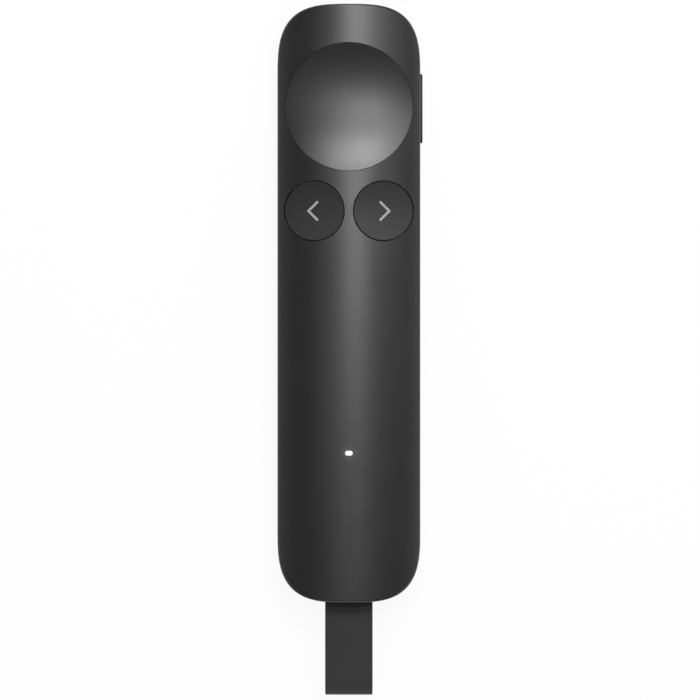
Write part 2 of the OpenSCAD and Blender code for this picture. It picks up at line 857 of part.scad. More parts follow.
module light_pipe() {
  foot_r = 2;
  foot_t = 0.6;
  foot_gap = 0.04;
  foot_top = crown_z(foot_r) - wall - foot_gap;
  color([0.95, 0.95, 0.95, 0.8]) {
    for (side = [-1, 1])
      post(side*light_pitch/2, light_y, light_d/2 - 0.02, board_top + led_h + 0.3, body_h - 0.03);
    post(0, light_y, foot_r, foot_top - foot_t, foot_top);
  }
}

module radio_chip() {
  color([0.07, 0.07, 0.08])
    on_board(0, shield_y, [radio_chip_w, radio_chip_w, chip_t]);
}

module rf_shield() {
  color([0.72, 0.73, 0.74])
    difference() {
      on_board(0, shield_y, [shield_w, shield_l, shield_h]);
      translate([0, 0, -shield_t])
        on_board(0, shield_y, [shield_w - 2*shield_t, shield_l - 2*shield_t, shield_h]);
    }
}

module motion_sensor() {
  color([0.07, 0.07, 0.08])
    on_board(sensor_x, sensor_y, [sensor_w, sensor_l, chip_t]);
}

module antenna_chip() {
  color([0.9, 0.9, 0.88])
    on_board(antenna_inset - board_w/2, shield_y, [antenna_w, antenna_l, antenna_h]);
}

module power_chip() {
  color([0.07, 0.07, 0.08])
    on_board(0, light_y + power_chip_reach, [power_chip_w, power_chip_w, chip_t]);
}

module board_passives() {
  color([0.55, 0.45, 0.3])
    for (side = [-1, 1], i = [0:passives_in_row - 1])
      on_board(side*passive_x, light_y + passive_pitch*i, [passive_w, passive_l, passive_h]);
}

module battery() {
  color([0.75, 0.76, 0.78])
    translate([0, (battery_y + battery_front_y)/2, battery_z])
      linear_extrude(battery_t)
        rounded_rect(battery_w, battery_l, 1);
}

module battery_tape() {
  color([0.9, 0.85, 0.4])
    box([-battery_w/2 + 2, battery_y + 4, floor_z], [battery_w/2 - 2, battery_front_y - 4, battery_z]);
}

module battery_leads() {
  connector_z = board_z - connector_h/2;
  color([0.7, 0.1, 0.1])
    for (side = [-1, 1])
      translate([side*lead_pitch/2, connector_y, connector_z])
        rotate([90, 0, 0])
          cylinder(r = lead_r, h = lead_l);
}

module battery_plug() {
  color([0.95, 0.95, 0.92])
    box([connector_lip - connector_w/2, connector_y, board_z - connector_h + 0.1],
        [connector_w/2 - connector_lip, connector_y + connector_plug_l, board_z - 0.1]);
}

module battery_socket() {
  color([0.92, 0.9, 0.82])
    box([-connector_w/2, connector_y + connector_plug_l, board_z - connector_h],
        [connector_w/2, connector_end_y, board_z]);
}

module vibration_motor() {
  color([0.78, 0.78, 0.8])
    post(0, motor_y, motor_r, board_z - motor_h, board_z);
}

module usb_socket() {
  color([0.8, 0.8, 0.82])
    difference() {
      along_dock(socket_y, socket_back_y)
        stadium(socket_w, socket_h);
      along_dock(socket_y - 1, socket_back_y - socket_wall)
        stadium(socket_w - 2*socket_wall, socket_h - 2*socket_wall);
    }
}

module usb_socket_tongue() {
  color([0.1, 0.1, 0.1])
    along_dock(socket_y + tongue_setback, socket_back_y - socket_wall)
      square([tongue_w, tongue_t], center = true);
}

module dock_sleeve() {
  window_gap = 0.1;
  color([0.1, 0.1, 0.11])
    difference() {
      along_dock(sleeve_end_y, sleeve_front_y)
        rounded_rect(sleeve_w, sleeve_h, receiver_round + dock_gap + sleeve_t);
      along_dock(sleeve_end_y - 1, sleeve_front_y - sleeve_t)
        rounded_rect(dock_w, dock_h, receiver_round + dock_gap);
      along_dock(sleeve_end_y, sleeve_front_y + 1)
        stadium(socket_w + 2*window_gap, socket_h + 2*window_gap);
    }
}

module receiver_shell() {
  color([0.12, 0.12, 0.13])
    difference() {
      along_dock(cap_split_y, receiver_front_y)
        rounded_rect(receiver_w, receiver_h, receiver_round);
      along_dock(cap_split_y - 1, receiver_front_y - receiver_wall)
        rounded_rect(receiver_w - 2*receiver_wall, receiver_h - 2*receiver_wall, receiver_round/2);
      along_dock(cap_split_y, receiver_front_y + 1)
        stadium(plug_w, plug_h);
    }
}

module receiver_cap() {
  pocket_w = strap_w + 2*strap_side_gap;
  pocket_y = strap_pin_y + strap_in_r + strap_t + 0.3;
  color([0.12, 0.12, 0.13])
    difference() {
      along_dock(receiver_end_y, cap_split_y)
        rounded_rect(receiver_w, receiver_h, receiver_round);
      along_dock(receiver_end_y - 1, pocket_y)
        square([pocket_w, pocket_h], center = true);
      translate([-receiver_w/2 + 0.5, strap_pin_y, dock_z])
        rotate([0, 90, 0])
          cylinder(r = strap_pin_r + 0.02, h = receiver_w - 1);
    }
}

module receiver_plug() {
  color([0.8, 0.8, 0.82])
    difference() {
      along_dock(receiver_front_y - plug_root, receiver_front_y + plug_l)
        stadium(plug_w, plug_h);
      along_dock(receiver_front_y - plug_root - 1, receiver_front_y + plug_l + 1)
        stadium(plug_w - 2*plug_wall, plug_h - 2*plug_wall);
    }
}

module receiver_plug_insert() {
  slot_y = socket_y + tongue_setback - 0.2;
  color([0.08, 0.08, 0.08])
    difference() {
      along_dock(receiver_front_y - plug_root, receiver_front_y + plug_l)
        stadium(plug_w - 2*plug_wall, plug_h - 2*plug_wall);
      along_dock(slot_y, receiver_front_y + plug_l + 1)
        square([tongue_w + 2*insert_slot_gap, tongue_t + 2*insert_slot_gap], center = true);
    }
}

module receiver_board() {
  color([0.05, 0.25, 0.15])
    along_dock(cap_split_y, receiver_front_y - plug_root)
      square([receiver_w - 2*receiver_wall - 0.6, receiver_board_t], center = true);
}

module receiver_chip() {
  chip = [4, 3.6, 0.8];
  color([0.07, 0.07, 0.08])
    translate([-chip.x/2, (cap_split_y + receiver_front_y - chip.y)/2 - 0.5, dock_z + receiver_board_t/2])
      cube(chip);
}

module strap_pin() {
  end_gap = 0.6;
  color([0.7, 0.7, 0.72])
    translate([-receiver_w/2 + end_gap, strap_pin_y, dock_z])
      rotate([0, 90, 0])
        cylinder(r = strap_pin_r, h = receiver_w - 2*end_gap);
}

// Outline of a band around the pin and the far fold, grown by a thickness. It is drawn in the
// plane of the body's length and height. The straights run a hair inside the tangents, so that
// they cross the arcs cleanly.
module strap_outline(grow) {
  bite = 0.004;
  pin = [strap_pin_y, dock_z];
  fold = [fold_y, fold_z];
  r1 = strap_in_r + grow;
  r2 = fold_r + grow;
  run = fold - pin;
  heading = atan2(run.y, run.x);
  lean = acos((r1 - r2)/norm(run));
  function edge(centre, r, side) =
    centre + (r - bite)*[cos(heading + side*lean), sin(heading + side*lean)];
  translate(pin)
    circle(r = r1);
  translate(fold)
    circle(r = r2);
  polygon([edge(pin, r1, 1), edge(pin, r1, -1), edge(fold, r2, -1), edge(fold, r2, 1)]);
}

module strap_loop() {
  color([0.13, 0.13, 0.14])
    translate([-strap_w/2, 0, 0])
      rotate([90, 0, 90])
        linear_extrude(strap_w)
          difference() {
            strap_outline(strap_t);
            strap_outline(0);
          }
}

top_shell();
bottom_shell();
base_pad();
case_screws();
pointer_dish();
key_cap(-1);  // back_key
key_cap(1);  // next_key
key_icon(-1);  // back_icon
key_icon(1);  // next_icon
side_key();
key_guide_plate();
chassis();
main_board();
board_screws();
switch_housing(0, dish_y);  // pointer_switch
switch_plunger(0, dish_y);  // pointer_plunger
switch_dome(0, dish_y);  // pointer_dome
switch_housing(-key_x, key_y);  // back_switch
switch_plunger(-key_x, key_y);  // back_plunger
switch_dome(-key_x, key_y);  // back_dome
switch_housing(key_x, key_y);  // next_switch
switch_plunger(key_x, key_y);  // next_plunger
switch_dome(key_x, key_y);  // next_dome
side_switch();
side_plunger();
side_dome();
status_led();
light_pipe();
radio_chip();
rf_shield();
motion_sensor();
antenna_chip();
power_chip();
board_passives();
battery();
battery_tape();
battery_leads();
battery_plug();
battery_socket();
vibration_motor();
usb_socket();
usb_socket_tongue();
dock_sleeve();
receiver_shell();
receiver_cap();
receiver_plug();
receiver_plug_insert();
receiver_board();
receiver_chip();
strap_pin();
strap_loop();
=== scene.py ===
"""Wireless presentation clicker: its finished surfaces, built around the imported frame.

Shapes are worked out in millimetres, in the frame's own axes: +Y points to the pointer dish, +X to
the side key and +Z up. Meshes are written in metres.
"""

import math
from collections import namedtuple

import bpy
import numpy as np
from bpy.props import FloatProperty, FloatVectorProperty, IntProperty, PointerProperty
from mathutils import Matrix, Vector
from mathutils.geometry import delaunay_2d_cdt


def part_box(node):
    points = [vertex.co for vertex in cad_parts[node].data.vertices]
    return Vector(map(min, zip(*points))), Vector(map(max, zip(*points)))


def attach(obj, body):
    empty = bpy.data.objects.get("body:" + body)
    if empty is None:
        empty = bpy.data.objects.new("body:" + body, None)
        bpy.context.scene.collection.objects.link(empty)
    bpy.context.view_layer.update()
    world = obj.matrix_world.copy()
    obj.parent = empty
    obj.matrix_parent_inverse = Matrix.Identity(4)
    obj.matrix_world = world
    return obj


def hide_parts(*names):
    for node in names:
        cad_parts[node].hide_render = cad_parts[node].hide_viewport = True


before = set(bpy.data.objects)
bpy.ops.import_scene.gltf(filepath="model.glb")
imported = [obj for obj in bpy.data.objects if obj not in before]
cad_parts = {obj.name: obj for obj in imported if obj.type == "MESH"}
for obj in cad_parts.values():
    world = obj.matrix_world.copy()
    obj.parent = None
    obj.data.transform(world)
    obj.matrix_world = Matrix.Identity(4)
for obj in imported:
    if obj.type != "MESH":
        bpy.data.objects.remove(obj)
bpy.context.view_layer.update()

bl_info = {
    "name": "Presentation Clicker",
    "version": (1, 0, 0),
    "blender": (4, 5, 0),
    "location": "View3D > Sidebar > Clicker",
    "description": "Builds the finished surfaces of a wireless presentation clicker",
    "category": "Object",
}

MM = 0.001
BODY = "clicker"


def box_mm(node):
    """Lowest and highest corner of a frame node, in millimetres."""
    low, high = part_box(node)
    return low / MM, high / MM


# Places that the frame gives, in millimetres
SHELL_LOW, SHELL_HIGH = box_mm("top_shell")
HALF_W, FRONT_Y, TOP_Z = SHELL_HIGH
SEAM_Z = SHELL_LOW.z
BASE_Z = box_mm("bottom_shell")[0].z
DISH_LOW, DISH_HIGH = box_mm("pointer_dish")
DISH_R = DISH_HIGH.x
DISH_Y = (DISH_LOW.y + DISH_HIGH.y) / 2
KEY_LOW, KEY_HIGH = box_mm("next_key")
KEY_R = (KEY_HIGH.x - KEY_LOW.x) / 2
KEY_X = (KEY_HIGH.x + KEY_LOW.x) / 2
KEY_Y = (KEY_HIGH.y + KEY_LOW.y) / 2
LIGHT_LOW, LIGHT_HIGH = box_mm("light_pipe")
LIGHT_Y = (LIGHT_LOW.y + LIGHT_HIGH.y) / 2
SIDE_LOW, SIDE_HIGH = box_mm("side_key")
SIDE_Y = (SIDE_LOW.y + SIDE_HIGH.y) / 2
SIDE_Z = (SIDE_LOW.z + SIDE_HIGH.z) / 2
SLEEVE_LOW, SLEEVE_HIGH = box_mm("dock_sleeve")
DOCK_Z = (SLEEVE_LOW.z + SLEEVE_HIGH.z) / 2
PAD_LOW, PAD_HIGH = box_mm("base_pad")
CAP_LOW, CAP_HIGH = box_mm("receiver_cap")
STICK_LOW, STICK_HIGH = box_mm("receiver_shell")
PLUG_LOW, PLUG_HIGH = box_mm("receiver_plug")
PIN_LOW, PIN_HIGH = box_mm("strap_pin")
LOOP_LOW, LOOP_HIGH = box_mm("strap_loop")


def length(name, description, default_mm):
    """A length property, whose default is given in millimetres."""
    return FloatProperty(
        name=name, description=description, default=default_mm * MM, min=0, unit="LENGTH", precision=5)


def colour(name, description, default):
    return FloatVectorProperty(
        name=name, description=description, default=default, size=3, min=0, max=1, subtype="COLOR")


class ClickerShell(bpy.types.PropertyGroup):
    crown_radius: length("Crown Radius", "Radius of the crown across the width", 32)
    end_length: length("End Length", "Length of each rounded end", 16.1)
    end_exponent: FloatProperty(
        name="End Exponent", description="2 is an ellipse and more is squarer", default=3.2, min=2, max=6)
    top_edge: length("Top Edge", "Rounding of the top edge", 0.5)
    bottom_edge: length("Bottom Edge", "Rounding of the bottom edge", 4)
    wall: length("Wall", "Thickness of both shells", 1.4)
    seam_edge: length("Seam Edge", "Rounding of both shells along their seam", 0.07)
    dish_gap: length("Dish Gap", "Gap around the pointer dish", 0.08)
    dish_edge: length("Dish Opening Edge", "Rounding of the dish opening", 0.03)
    key_gap: length("Key Gap", "Gap around a key", 0.2)
    key_edge: length("Key Opening Edge", "Rounding of a key opening", 0.05)
    side_gap: length("Side Key Gap", "Gap around the side key", 0.15)


class ClickerCaps(bpy.types.PropertyGroup):
    dish_depth: length("Dish Depth", "Depth of the dish below the crown", 1.8)
    dish_edge: length("Dish Edge", "Rounding of the dish's rim", 0.03)
    key_depth: length("Key Depth", "Depth of a key's hollow", 0.6)
    key_sink: length("Key Sink", "Drop of a key's rim below the crown", 0.1)
    key_edge: length("Key Edge", "Rounding of a key's rim", 0.08)
    roof: length("Roof", "Thickness of a cap's roof", 1.3)
    skirt: length("Skirt", "Thickness of a cap's skirt", 1.35)
    floor: length("Floor", "Height of the skirts' lower edge", 8.6)
    sectors: IntProperty(name="Sectors", description="Steps around a cap", default=120, min=24)
    rings: IntProperty(
        name="Rings", description="Steps from a cap's top around its skirt to its roof", default=50, min=20)


class ClickerTrim(bpy.types.PropertyGroup):
    chevron_height: length("Chevron Height", "Height of a chevron along the body", 4.5)
    chevron_stroke: length("Chevron Stroke", "Width of a chevron's stroke", 0.5)
    chevron_shift: length("Chevron Shift", "Shift of a chevron outwards from its key's centre", 0.33)
    chevron_proud: length("Chevron Proud", "Height of a chevron above its key", 0.014)
    side_edge: length("Side Key Edge", "Rounding of the side key", 0.3)
    light_dot: length("Light Dot", "Diameter of each light dot", 1.06)
    light_pitch: length("Light Pitch", "Distance between the two dots", 0.6)
    rib_pitch: length("Rib Pitch", "Distance between the base pad's ribs", 1.5)
    rib_width: length("Rib Width", "Width of a rib", 0.6)
    rib_height: length("Rib Height", "Height of a rib above its field", 0.15)


class ClickerReceiver(bpy.types.PropertyGroup):
    sleeve_wall: length("Sleeve Wall", "Wall of the dock sleeve", 0.7)
    corner: length("Corner", "Corner radius of the receiver", 1.2)
    dock_gap: length("Dock Gap", "Gap between the receiver and its dock", 0.2)
    edge: length("Edge", "Rounding of the receiver's end face", 0.35)
    socket_width: length("Socket Width", "Width of the opening around the socket", 9.14)
    socket_height: length("Socket Height", "Height of the opening around the socket", 3.46)
    pocket_depth: length("Pocket Depth", "Depth of the strap's pocket", 4.18)


class ClickerStrap(bpy.types.PropertyGroup):
    thickness: length("Thickness", "Thickness of the ribbon", 0.7)
    pin_gap: length("Pin Gap", "Gap between the pin and the ribbon", 0.08)
    fold_radius: length("Fold Radius", "Inner radius of the far fold", 2.7)
    edge: length("Edge", "Rounding of the ribbon's long edges", 0.3)
    weave: length("Weave", "Distance between the ribbon's threads", 0.3)


class ClickerColours(bpy.types.PropertyGroup):
    shell: colour("Shell", "Satin graphite of the top shell and the dish", (0.0085, 0.0085, 0.009))
    under: colour("Under Shell", "Dark graphite of the bottom shell", (0.012, 0.012, 0.0126))
    key: colour("Key", "Matte black of the keys", (0.0095, 0.0095, 0.01))
    icon: colour("Icon", "Printed grey of the chevrons", (0.33, 0.33, 0.33))
    ribbon: colour("Ribbon", "Charcoal of the strap", (0.023, 0.023, 0.024))
    floor: colour("Floor", "Pale floor", (0.9, 0.9, 0.9))


GROUPS = {
    "clicker_shell": ClickerShell,
    "clicker_caps": ClickerCaps,
    "clicker_trim": ClickerTrim,
    "clicker_receiver": ClickerReceiver,
    "clicker_strap": ClickerStrap,
    "clicker_colours": ClickerColours,
}


# ---------------------------------------------------------------------------------------------
# Node trees
# ---------------------------------------------------------------------------------------------


class Number:
    """A value or vector socket of a node tree, with arithmetic that adds Math nodes."""

    def __init__(self, tree, socket):
        self.tree = tree
        self.socket = socket

    def math(self, operation, *others):
        node = self.tree.add("ShaderNodeMath", {"operation": operation})
        for place, value in enumerate((self, *others)):
            self.tree.feed(node.inputs[place], value)
        return Number(self.tree, node.outputs[0])

    def clamped(self):
        node = self.tree.add("ShaderNodeClamp", {}, {"Value": self})
        return Number(self.tree, node.outputs[0])

    def sin(self):
        return self.math("SINE")

    def cos(self):
        return self.math("COSINE")

    def root(self):
        return self.math("SQRT")

    def absolute(self):
        return self.math("ABSOLUTE")

    def __add__(self, other):
        return self.math("ADD", other)

    def __sub__(self, other):
        return self.math("SUBTRACT", other)

    def __mul__(self, other):
        return self.math("MULTIPLY", other)

    def __truediv__(self, other):
        return self.math("DIVIDE", other)

    def __pow__(self, other):
        return self.math("POWER", other)

    __radd__ = __add__
    __rmul__ = __mul__

    def __rsub__(self, other):
        return self.tree.number(other).math("SUBTRACT", self)

    def __rtruediv__(self, other):
        return self.tree.number(other).math("DIVIDE", self)


class Nodes:
    """Adds nodes to a shader or geometry tree."""

    def __init__(self, tree):
        self.tree = tree

    def feed(self, socket, value):
        """Links a socket to another, or sets its value."""
        if isinstance(value, Number):
            value = value.socket
        if isinstance(value, bpy.types.NodeSocket):
            self.tree.links.new(value, socket)
        else:
            socket.default_value = value

    def add(self, kind, settings=None, inputs=None):
        """A node of a kind, with its settings first and then the values or links of its inputs."""
        node = self.tree.nodes.new(kind)
        for name, value in (settings or {}).items():
            setattr(node, name, value)
        for name, value in (inputs or {}).items():
            self.feed(node.inputs[name], value)
        return node

    def out(self, kind, output, settings=None, inputs=None):
        """One output of a new node, as a Number."""
        return Number(self, self.add(kind, settings, inputs).outputs[output])

    def number(self, value):
        """A constant as a Number."""
        node = self.add("ShaderNodeMath", {"operation": "ADD"}, {0: value, 1: 0.0})
        return Number(self, node.outputs[0])

    def parts(self, vector):
        """The three parts of a vector, as Numbers."""
        node = self.add("ShaderNodeSeparateXYZ", {}, {0: vector})
        return [Number(self, output) for output in node.outputs]

    def vector(self, x, y, z):
        return self.out("ShaderNodeCombineXYZ", 0, {}, {0: x, 1: y, 2: z})

    def blend(self, share, first, second):
        """A colour between two colours."""
        node = self.add("ShaderNodeMix", {"data_type": "RGBA"})
        for name, value in (("Factor_Float", share), ("A_Color", first), ("B_Color", second)):
            socket = next(each for each in node.inputs if each.identifier == name)
            self.feed(socket, value)
        socket = next(each for each in node.outputs if each.identifier == "Result_Color")
        return Number(self, socket)


def rgba(shade, times=1.0):
    """A colour with its alpha, made lighter or darker by a factor."""
    return (*(min(1.0, part * times) for part in shade[:3]), 1.0)


class Finish:
    """A material with one Principled shader, on the surface's Object coordinates in metres."""

    def __init__(self, name, **fixed):
        self.material = bpy.data.materials.new(name)
        self.material.use_nodes = True
        tree = self.material.node_tree
        tree.nodes.clear()
        self.nodes = Nodes(tree)
        self.shader = self.nodes.add("ShaderNodeBsdfPrincipled")
        output = self.nodes.add("ShaderNodeOutputMaterial")
        self.nodes.feed(output.inputs["Surface"], self.shader.outputs[0])
        self.place = self.nodes.out("ShaderNodeTexCoord", "Object")
        for name, value in fixed.items():
            self.set(name.replace("_", " "), value)

    def set(self, name, value):
        """Links or sets an input of the shader, by its name in any case."""
        names = {each.name.lower(): each for each in self.shader.inputs}
        self.nodes.feed(names[name.lower()], value)

    def noise(self, grain_mm, detail=2.0, place=None):
        """Noise from 0 to 1, whose grains have the given size in millimetres."""
        return self.nodes.out(
            "ShaderNodeTexNoise", 0, {"noise_dimensions": "3D"},
            {"Vector": place or self.place, "Scale": 1 / (grain_mm * MM), "Detail": detail})

    def cells(self, grain_mm):
        """A random number for each cell of the given size in millimetres."""
        node = self.nodes.add(
            "ShaderNodeTexVoronoi", {"feature": "F1"},
            {"Vector": self.place, "Scale": 1 / (grain_mm * MM)})
        separate = self.nodes.add("ShaderNodeSeparateColor", {}, {0: node.outputs["Color"]})
        return Number(self.nodes, separate.outputs[0])

    def scaled_along(self, factor):
        """The surface's coordinates with Y times a factor: below 1, a pattern on them is drawn out."""
        return self.nodes.out(
            "ShaderNodeMapping", 0, {}, {"Vector": self.place, "Scale": (1.0, factor, 1.0)})

    def relief(self, height, depth_mm):
        """Bumps the surface by a height from 0 to 1, whose full depth is given in millimetres."""
        bump = self.nodes.add(
            "ShaderNodeBump", {}, {"Strength": 1.0, "Distance": depth_mm * MM, "Height": height})
        self.set("Normal", bump.outputs[0])


def moulded(name, shade, roughness, grain_mm=0.16, relief_mm=0.004, flake=0.0, mottle=0.08, **fixed):
    """Moulded plastic: spark-eroded grain, faint mottling, uneven gloss and, if asked, bright flakes."""
    mottle_mm = 9.0
    grain_gloss, mottle_gloss = 0.08, 0.04
    bright_share = 0.1
    finish = Finish(name, **fixed)
    broad = finish.noise(mottle_mm, 3.0)
    fine = finish.noise(grain_mm)
    base = finish.nodes.blend(broad, rgba(shade, 1 - mottle), rgba(shade, 1 + mottle))
    if flake:
        sparks = (finish.cells(grain_mm) - (1 - bright_share)) * (1 / bright_share)
        base = finish.nodes.blend(sparks.clamped() * flake, base, rgba((0.35, 0.35, 0.36)))
    finish.set("Base Color", base)
    finish.set("Roughness", roughness + (fine - 0.5) * grain_gloss + (broad - 0.5) * mottle_gloss)
    finish.relief(fine, relief_mm)
    return finish


def add_painted_halo(finish, reach_mm, level):
    """Paints a faint glow into the shell's emission around the status light, as if the light shone through
    the wall.
    """
    x, y, _ = finish.nodes.parts(finish.place)
    y = y - LIGHT_Y * MM
    distance = (x * x + y * y).root() / (reach_mm * MM)
    # Painted glow: the shell's emission fades out with distance from the status light
    painted_halo = (1 - distance).clamped() ** 2.0 * level
    finish.set("Emission Color", finish.nodes.blend(painted_halo, (0, 0, 0, 1), (1, 1, 1, 1)))
    finish.set("Emission Strength", 1.0)


def metal(name, shade, roughness, along=1.0):
    """Plain metal, slightly tarnished, with a fine grain that a factor below 1 draws out along Y."""
    grain_mm, tarnish_mm = 0.12, 2.5
    finish = Finish(name, metallic=1.0)
    grain = finish.noise(grain_mm, place=finish.scaled_along(along))
    tarnish = finish.noise(tarnish_mm, 3.0)
    finish.set("Base Color", finish.nodes.blend(tarnish, rgba(shade, 0.82), rgba(shade)))
    finish.set("Roughness", roughness + (grain - 0.5) * 0.16)
    finish.relief(grain, 0.003)
    return finish


def circuit_board(name):
    """Green solder mask over copper tracks, with a fibreglass weave showing through."""
    track_mm, thread_mm = 0.9, 0.5
    finish = Finish(name, specular_ior_level=0.6)
    x, y, _ = finish.nodes.parts(finish.place)
    lanes = (x / (track_mm * MM) * math.pi).sin()
    tracks = (lanes * 4 + finish.noise(5.0, 1.0) * 6 - 5).clamped()
    weave = (x / (thread_mm * MM) * math.pi).sin() * (y / (thread_mm * MM) * math.pi).sin()
    base = finish.nodes.blend(tracks, (0.008, 0.075, 0.035, 1), (0.02, 0.15, 0.07, 1))
    finish.set("Base Color", base)
    finish.set("Roughness", 0.32 + weave * 0.05)
    finish.relief(tracks + weave * 0.1, 0.02)
    return finish


def foil(name, shade):
    """Crinkled satin foil of a pouch cell, with painted shade where its crinkles dip."""
    finish = Finish(name, metallic=1.0)
    crinkle_and_crease_shade = finish.noise(3.0, 6.0)
    # Painted shade: the foil's colour darkens where the crinkle relief dips
    finish.set("Base Color", finish.nodes.blend(crinkle_and_crease_shade, rgba(shade, 0.8), rgba(shade)))
    finish.set("Roughness", 0.3 + crinkle_and_crease_shade * 0.15)
    finish.relief(crinkle_and_crease_shade, 0.12)
    return finish


def ribbon(name, shade, thread_mm):
    """Close-woven ribbon: warp threads along its length crossed by a fine weft, on the UV map, with painted
    shade between the threads.
    """
    finish = Finish(name, specular_ior_level=0.38)
    uv = finish.nodes.out("ShaderNodeUVMap", 0, {"uv_map": "UVMap"})
    across, along, _ = finish.nodes.parts(uv)
    warp = across / (thread_mm * MM) * math.pi
    weft = along / (thread_mm * MM) * math.pi
    over = warp.sin() * weft.sin()
    threads = (over * 0.5 + 0.5) ** 0.7
    wear = finish.noise(2.2, 4.0)
    # Painted shade: the colour is darker where the threads dip and lighter where they rise
    shadow = finish.nodes.blend(threads, rgba(shade, 0.85), rgba(shade, 1.08))
    finish.set("Base Color", finish.nodes.blend(wear * 0.25, shadow, rgba(shade, 1.5)))
    finish.set("Roughness", 0.62 + (1 - threads) * 0.2)
    finish.relief(threads, 0.03)
    return finish


def lit_dot(name):
    """Light pipe: frosted white, brightest over the lamp below it."""
    reach_mm, falloff, level = 0.95, 0.12, 0.7
    finish = Finish(name, roughness=0.35, emission_strength=1.0)
    x, _, _ = finish.nodes.parts(finish.place)
    middle = 1 - (x / (reach_mm * MM)).absolute() ** 2.0 * falloff
    frost = finish.noise(0.25)
    finish.set("Base Color", finish.nodes.blend(frost, (0.3, 0.3, 0.31, 1), (0.36, 0.36, 0.37, 1)))
    finish.set("Emission Color", finish.nodes.blend(middle * level, (0, 0, 0, 1), (1, 1, 1, 1)))
    finish.relief(frost, 0.01)
    return finish


def make_finishes(colours):
    """Every finish, each named after the record's slot that it is for."""
    grey = (0.04, 0.04, 0.043)
    black = (0.012, 0.012, 0.0125)
    steel = (0.6, 0.6, 0.62)
    shell = moulded("shell", colours.shell, 0.31, flake=0.015, specular_ior_level=0.61)
    # The shell carries a painted glow around the status light
    add_painted_halo(shell, reach_mm=2.6, level=0.045)
    return [
        shell,
        moulded("under_shell", colours.under, 0.4, specular_ior_level=0.6),
        moulded("dish", colours.shell, 0.31, flake=0.015, specular_ior_level=0.6),
        moulded("key", colours.key, 0.5, 0.14, 0.006, specular_ior_level=0.47),
        moulded("side_key", colours.key, 0.45, 0.14, 0.006, specular_ior_level=0.3),
        moulded("icon", colours.icon, 0.55, 0.1, 0.002, mottle=0.04),
        moulded("base_pad", black, 0.75, 0.3, 0.01, specular_ior_level=0.35),
        moulded("frame_plastic", grey, 0.5, 0.25, 0.008),
        moulded("switch_plastic", black, 0.45, 0.12),
        moulded("white_plastic", (0.75, 0.75, 0.71), 0.35, 0.2, mottle=0.03),
        moulded("receiver_plastic", black, 0.42, specular_ior_level=0.7),
        circuit_board("circuit_board"),
        moulded("chip", (0.018, 0.018, 0.019), 0.55, 0.08, 0.005),
        metal("screw_steel", steel, 0.3),
        metal("shield_steel", (0.65, 0.66, 0.67), 0.32, along=0.1),
        metal("plug_steel", (0.62, 0.62, 0.64), 0.24, along=0.1),
        metal("dome_metal", (0.7, 0.66, 0.5), 0.22),
        foil("battery_foil", (0.6, 0.61, 0.63)),
        moulded("tape", (0.6, 0.52, 0.2), 0.3, 0.8, 0.01, specular_ior_level=0.6),
        moulded("lead_red", (0.4, 0.03, 0.03), 0.45, 0.3),
        lit_dot("light_pipe"),
        ribbon("strap", colours.ribbon, bpy.context.scene.clicker_strap.weave / MM),
    ]


PLAIN = "_plain"


def finish_of(slot):
    """The finish for a slot. The first call renames the frame's own materials and makes them all."""
    if slot not in bpy.data.materials or "clicker_finish" not in bpy.data.materials[slot]:
        for old in list(bpy.data.materials):
            old.name += PLAIN
        for finish in make_finishes(bpy.context.scene.clicker_colours):
            finish.material["clicker_finish"] = True
    return bpy.data.materials[slot]


# ---------------------------------------------------------------------------------------------
# Meshes
# ---------------------------------------------------------------------------------------------


SHARP = math.radians(32)
# Straight stretch left between two round corners that would otherwise meet, in millimetres
SLIVER = 1e-4


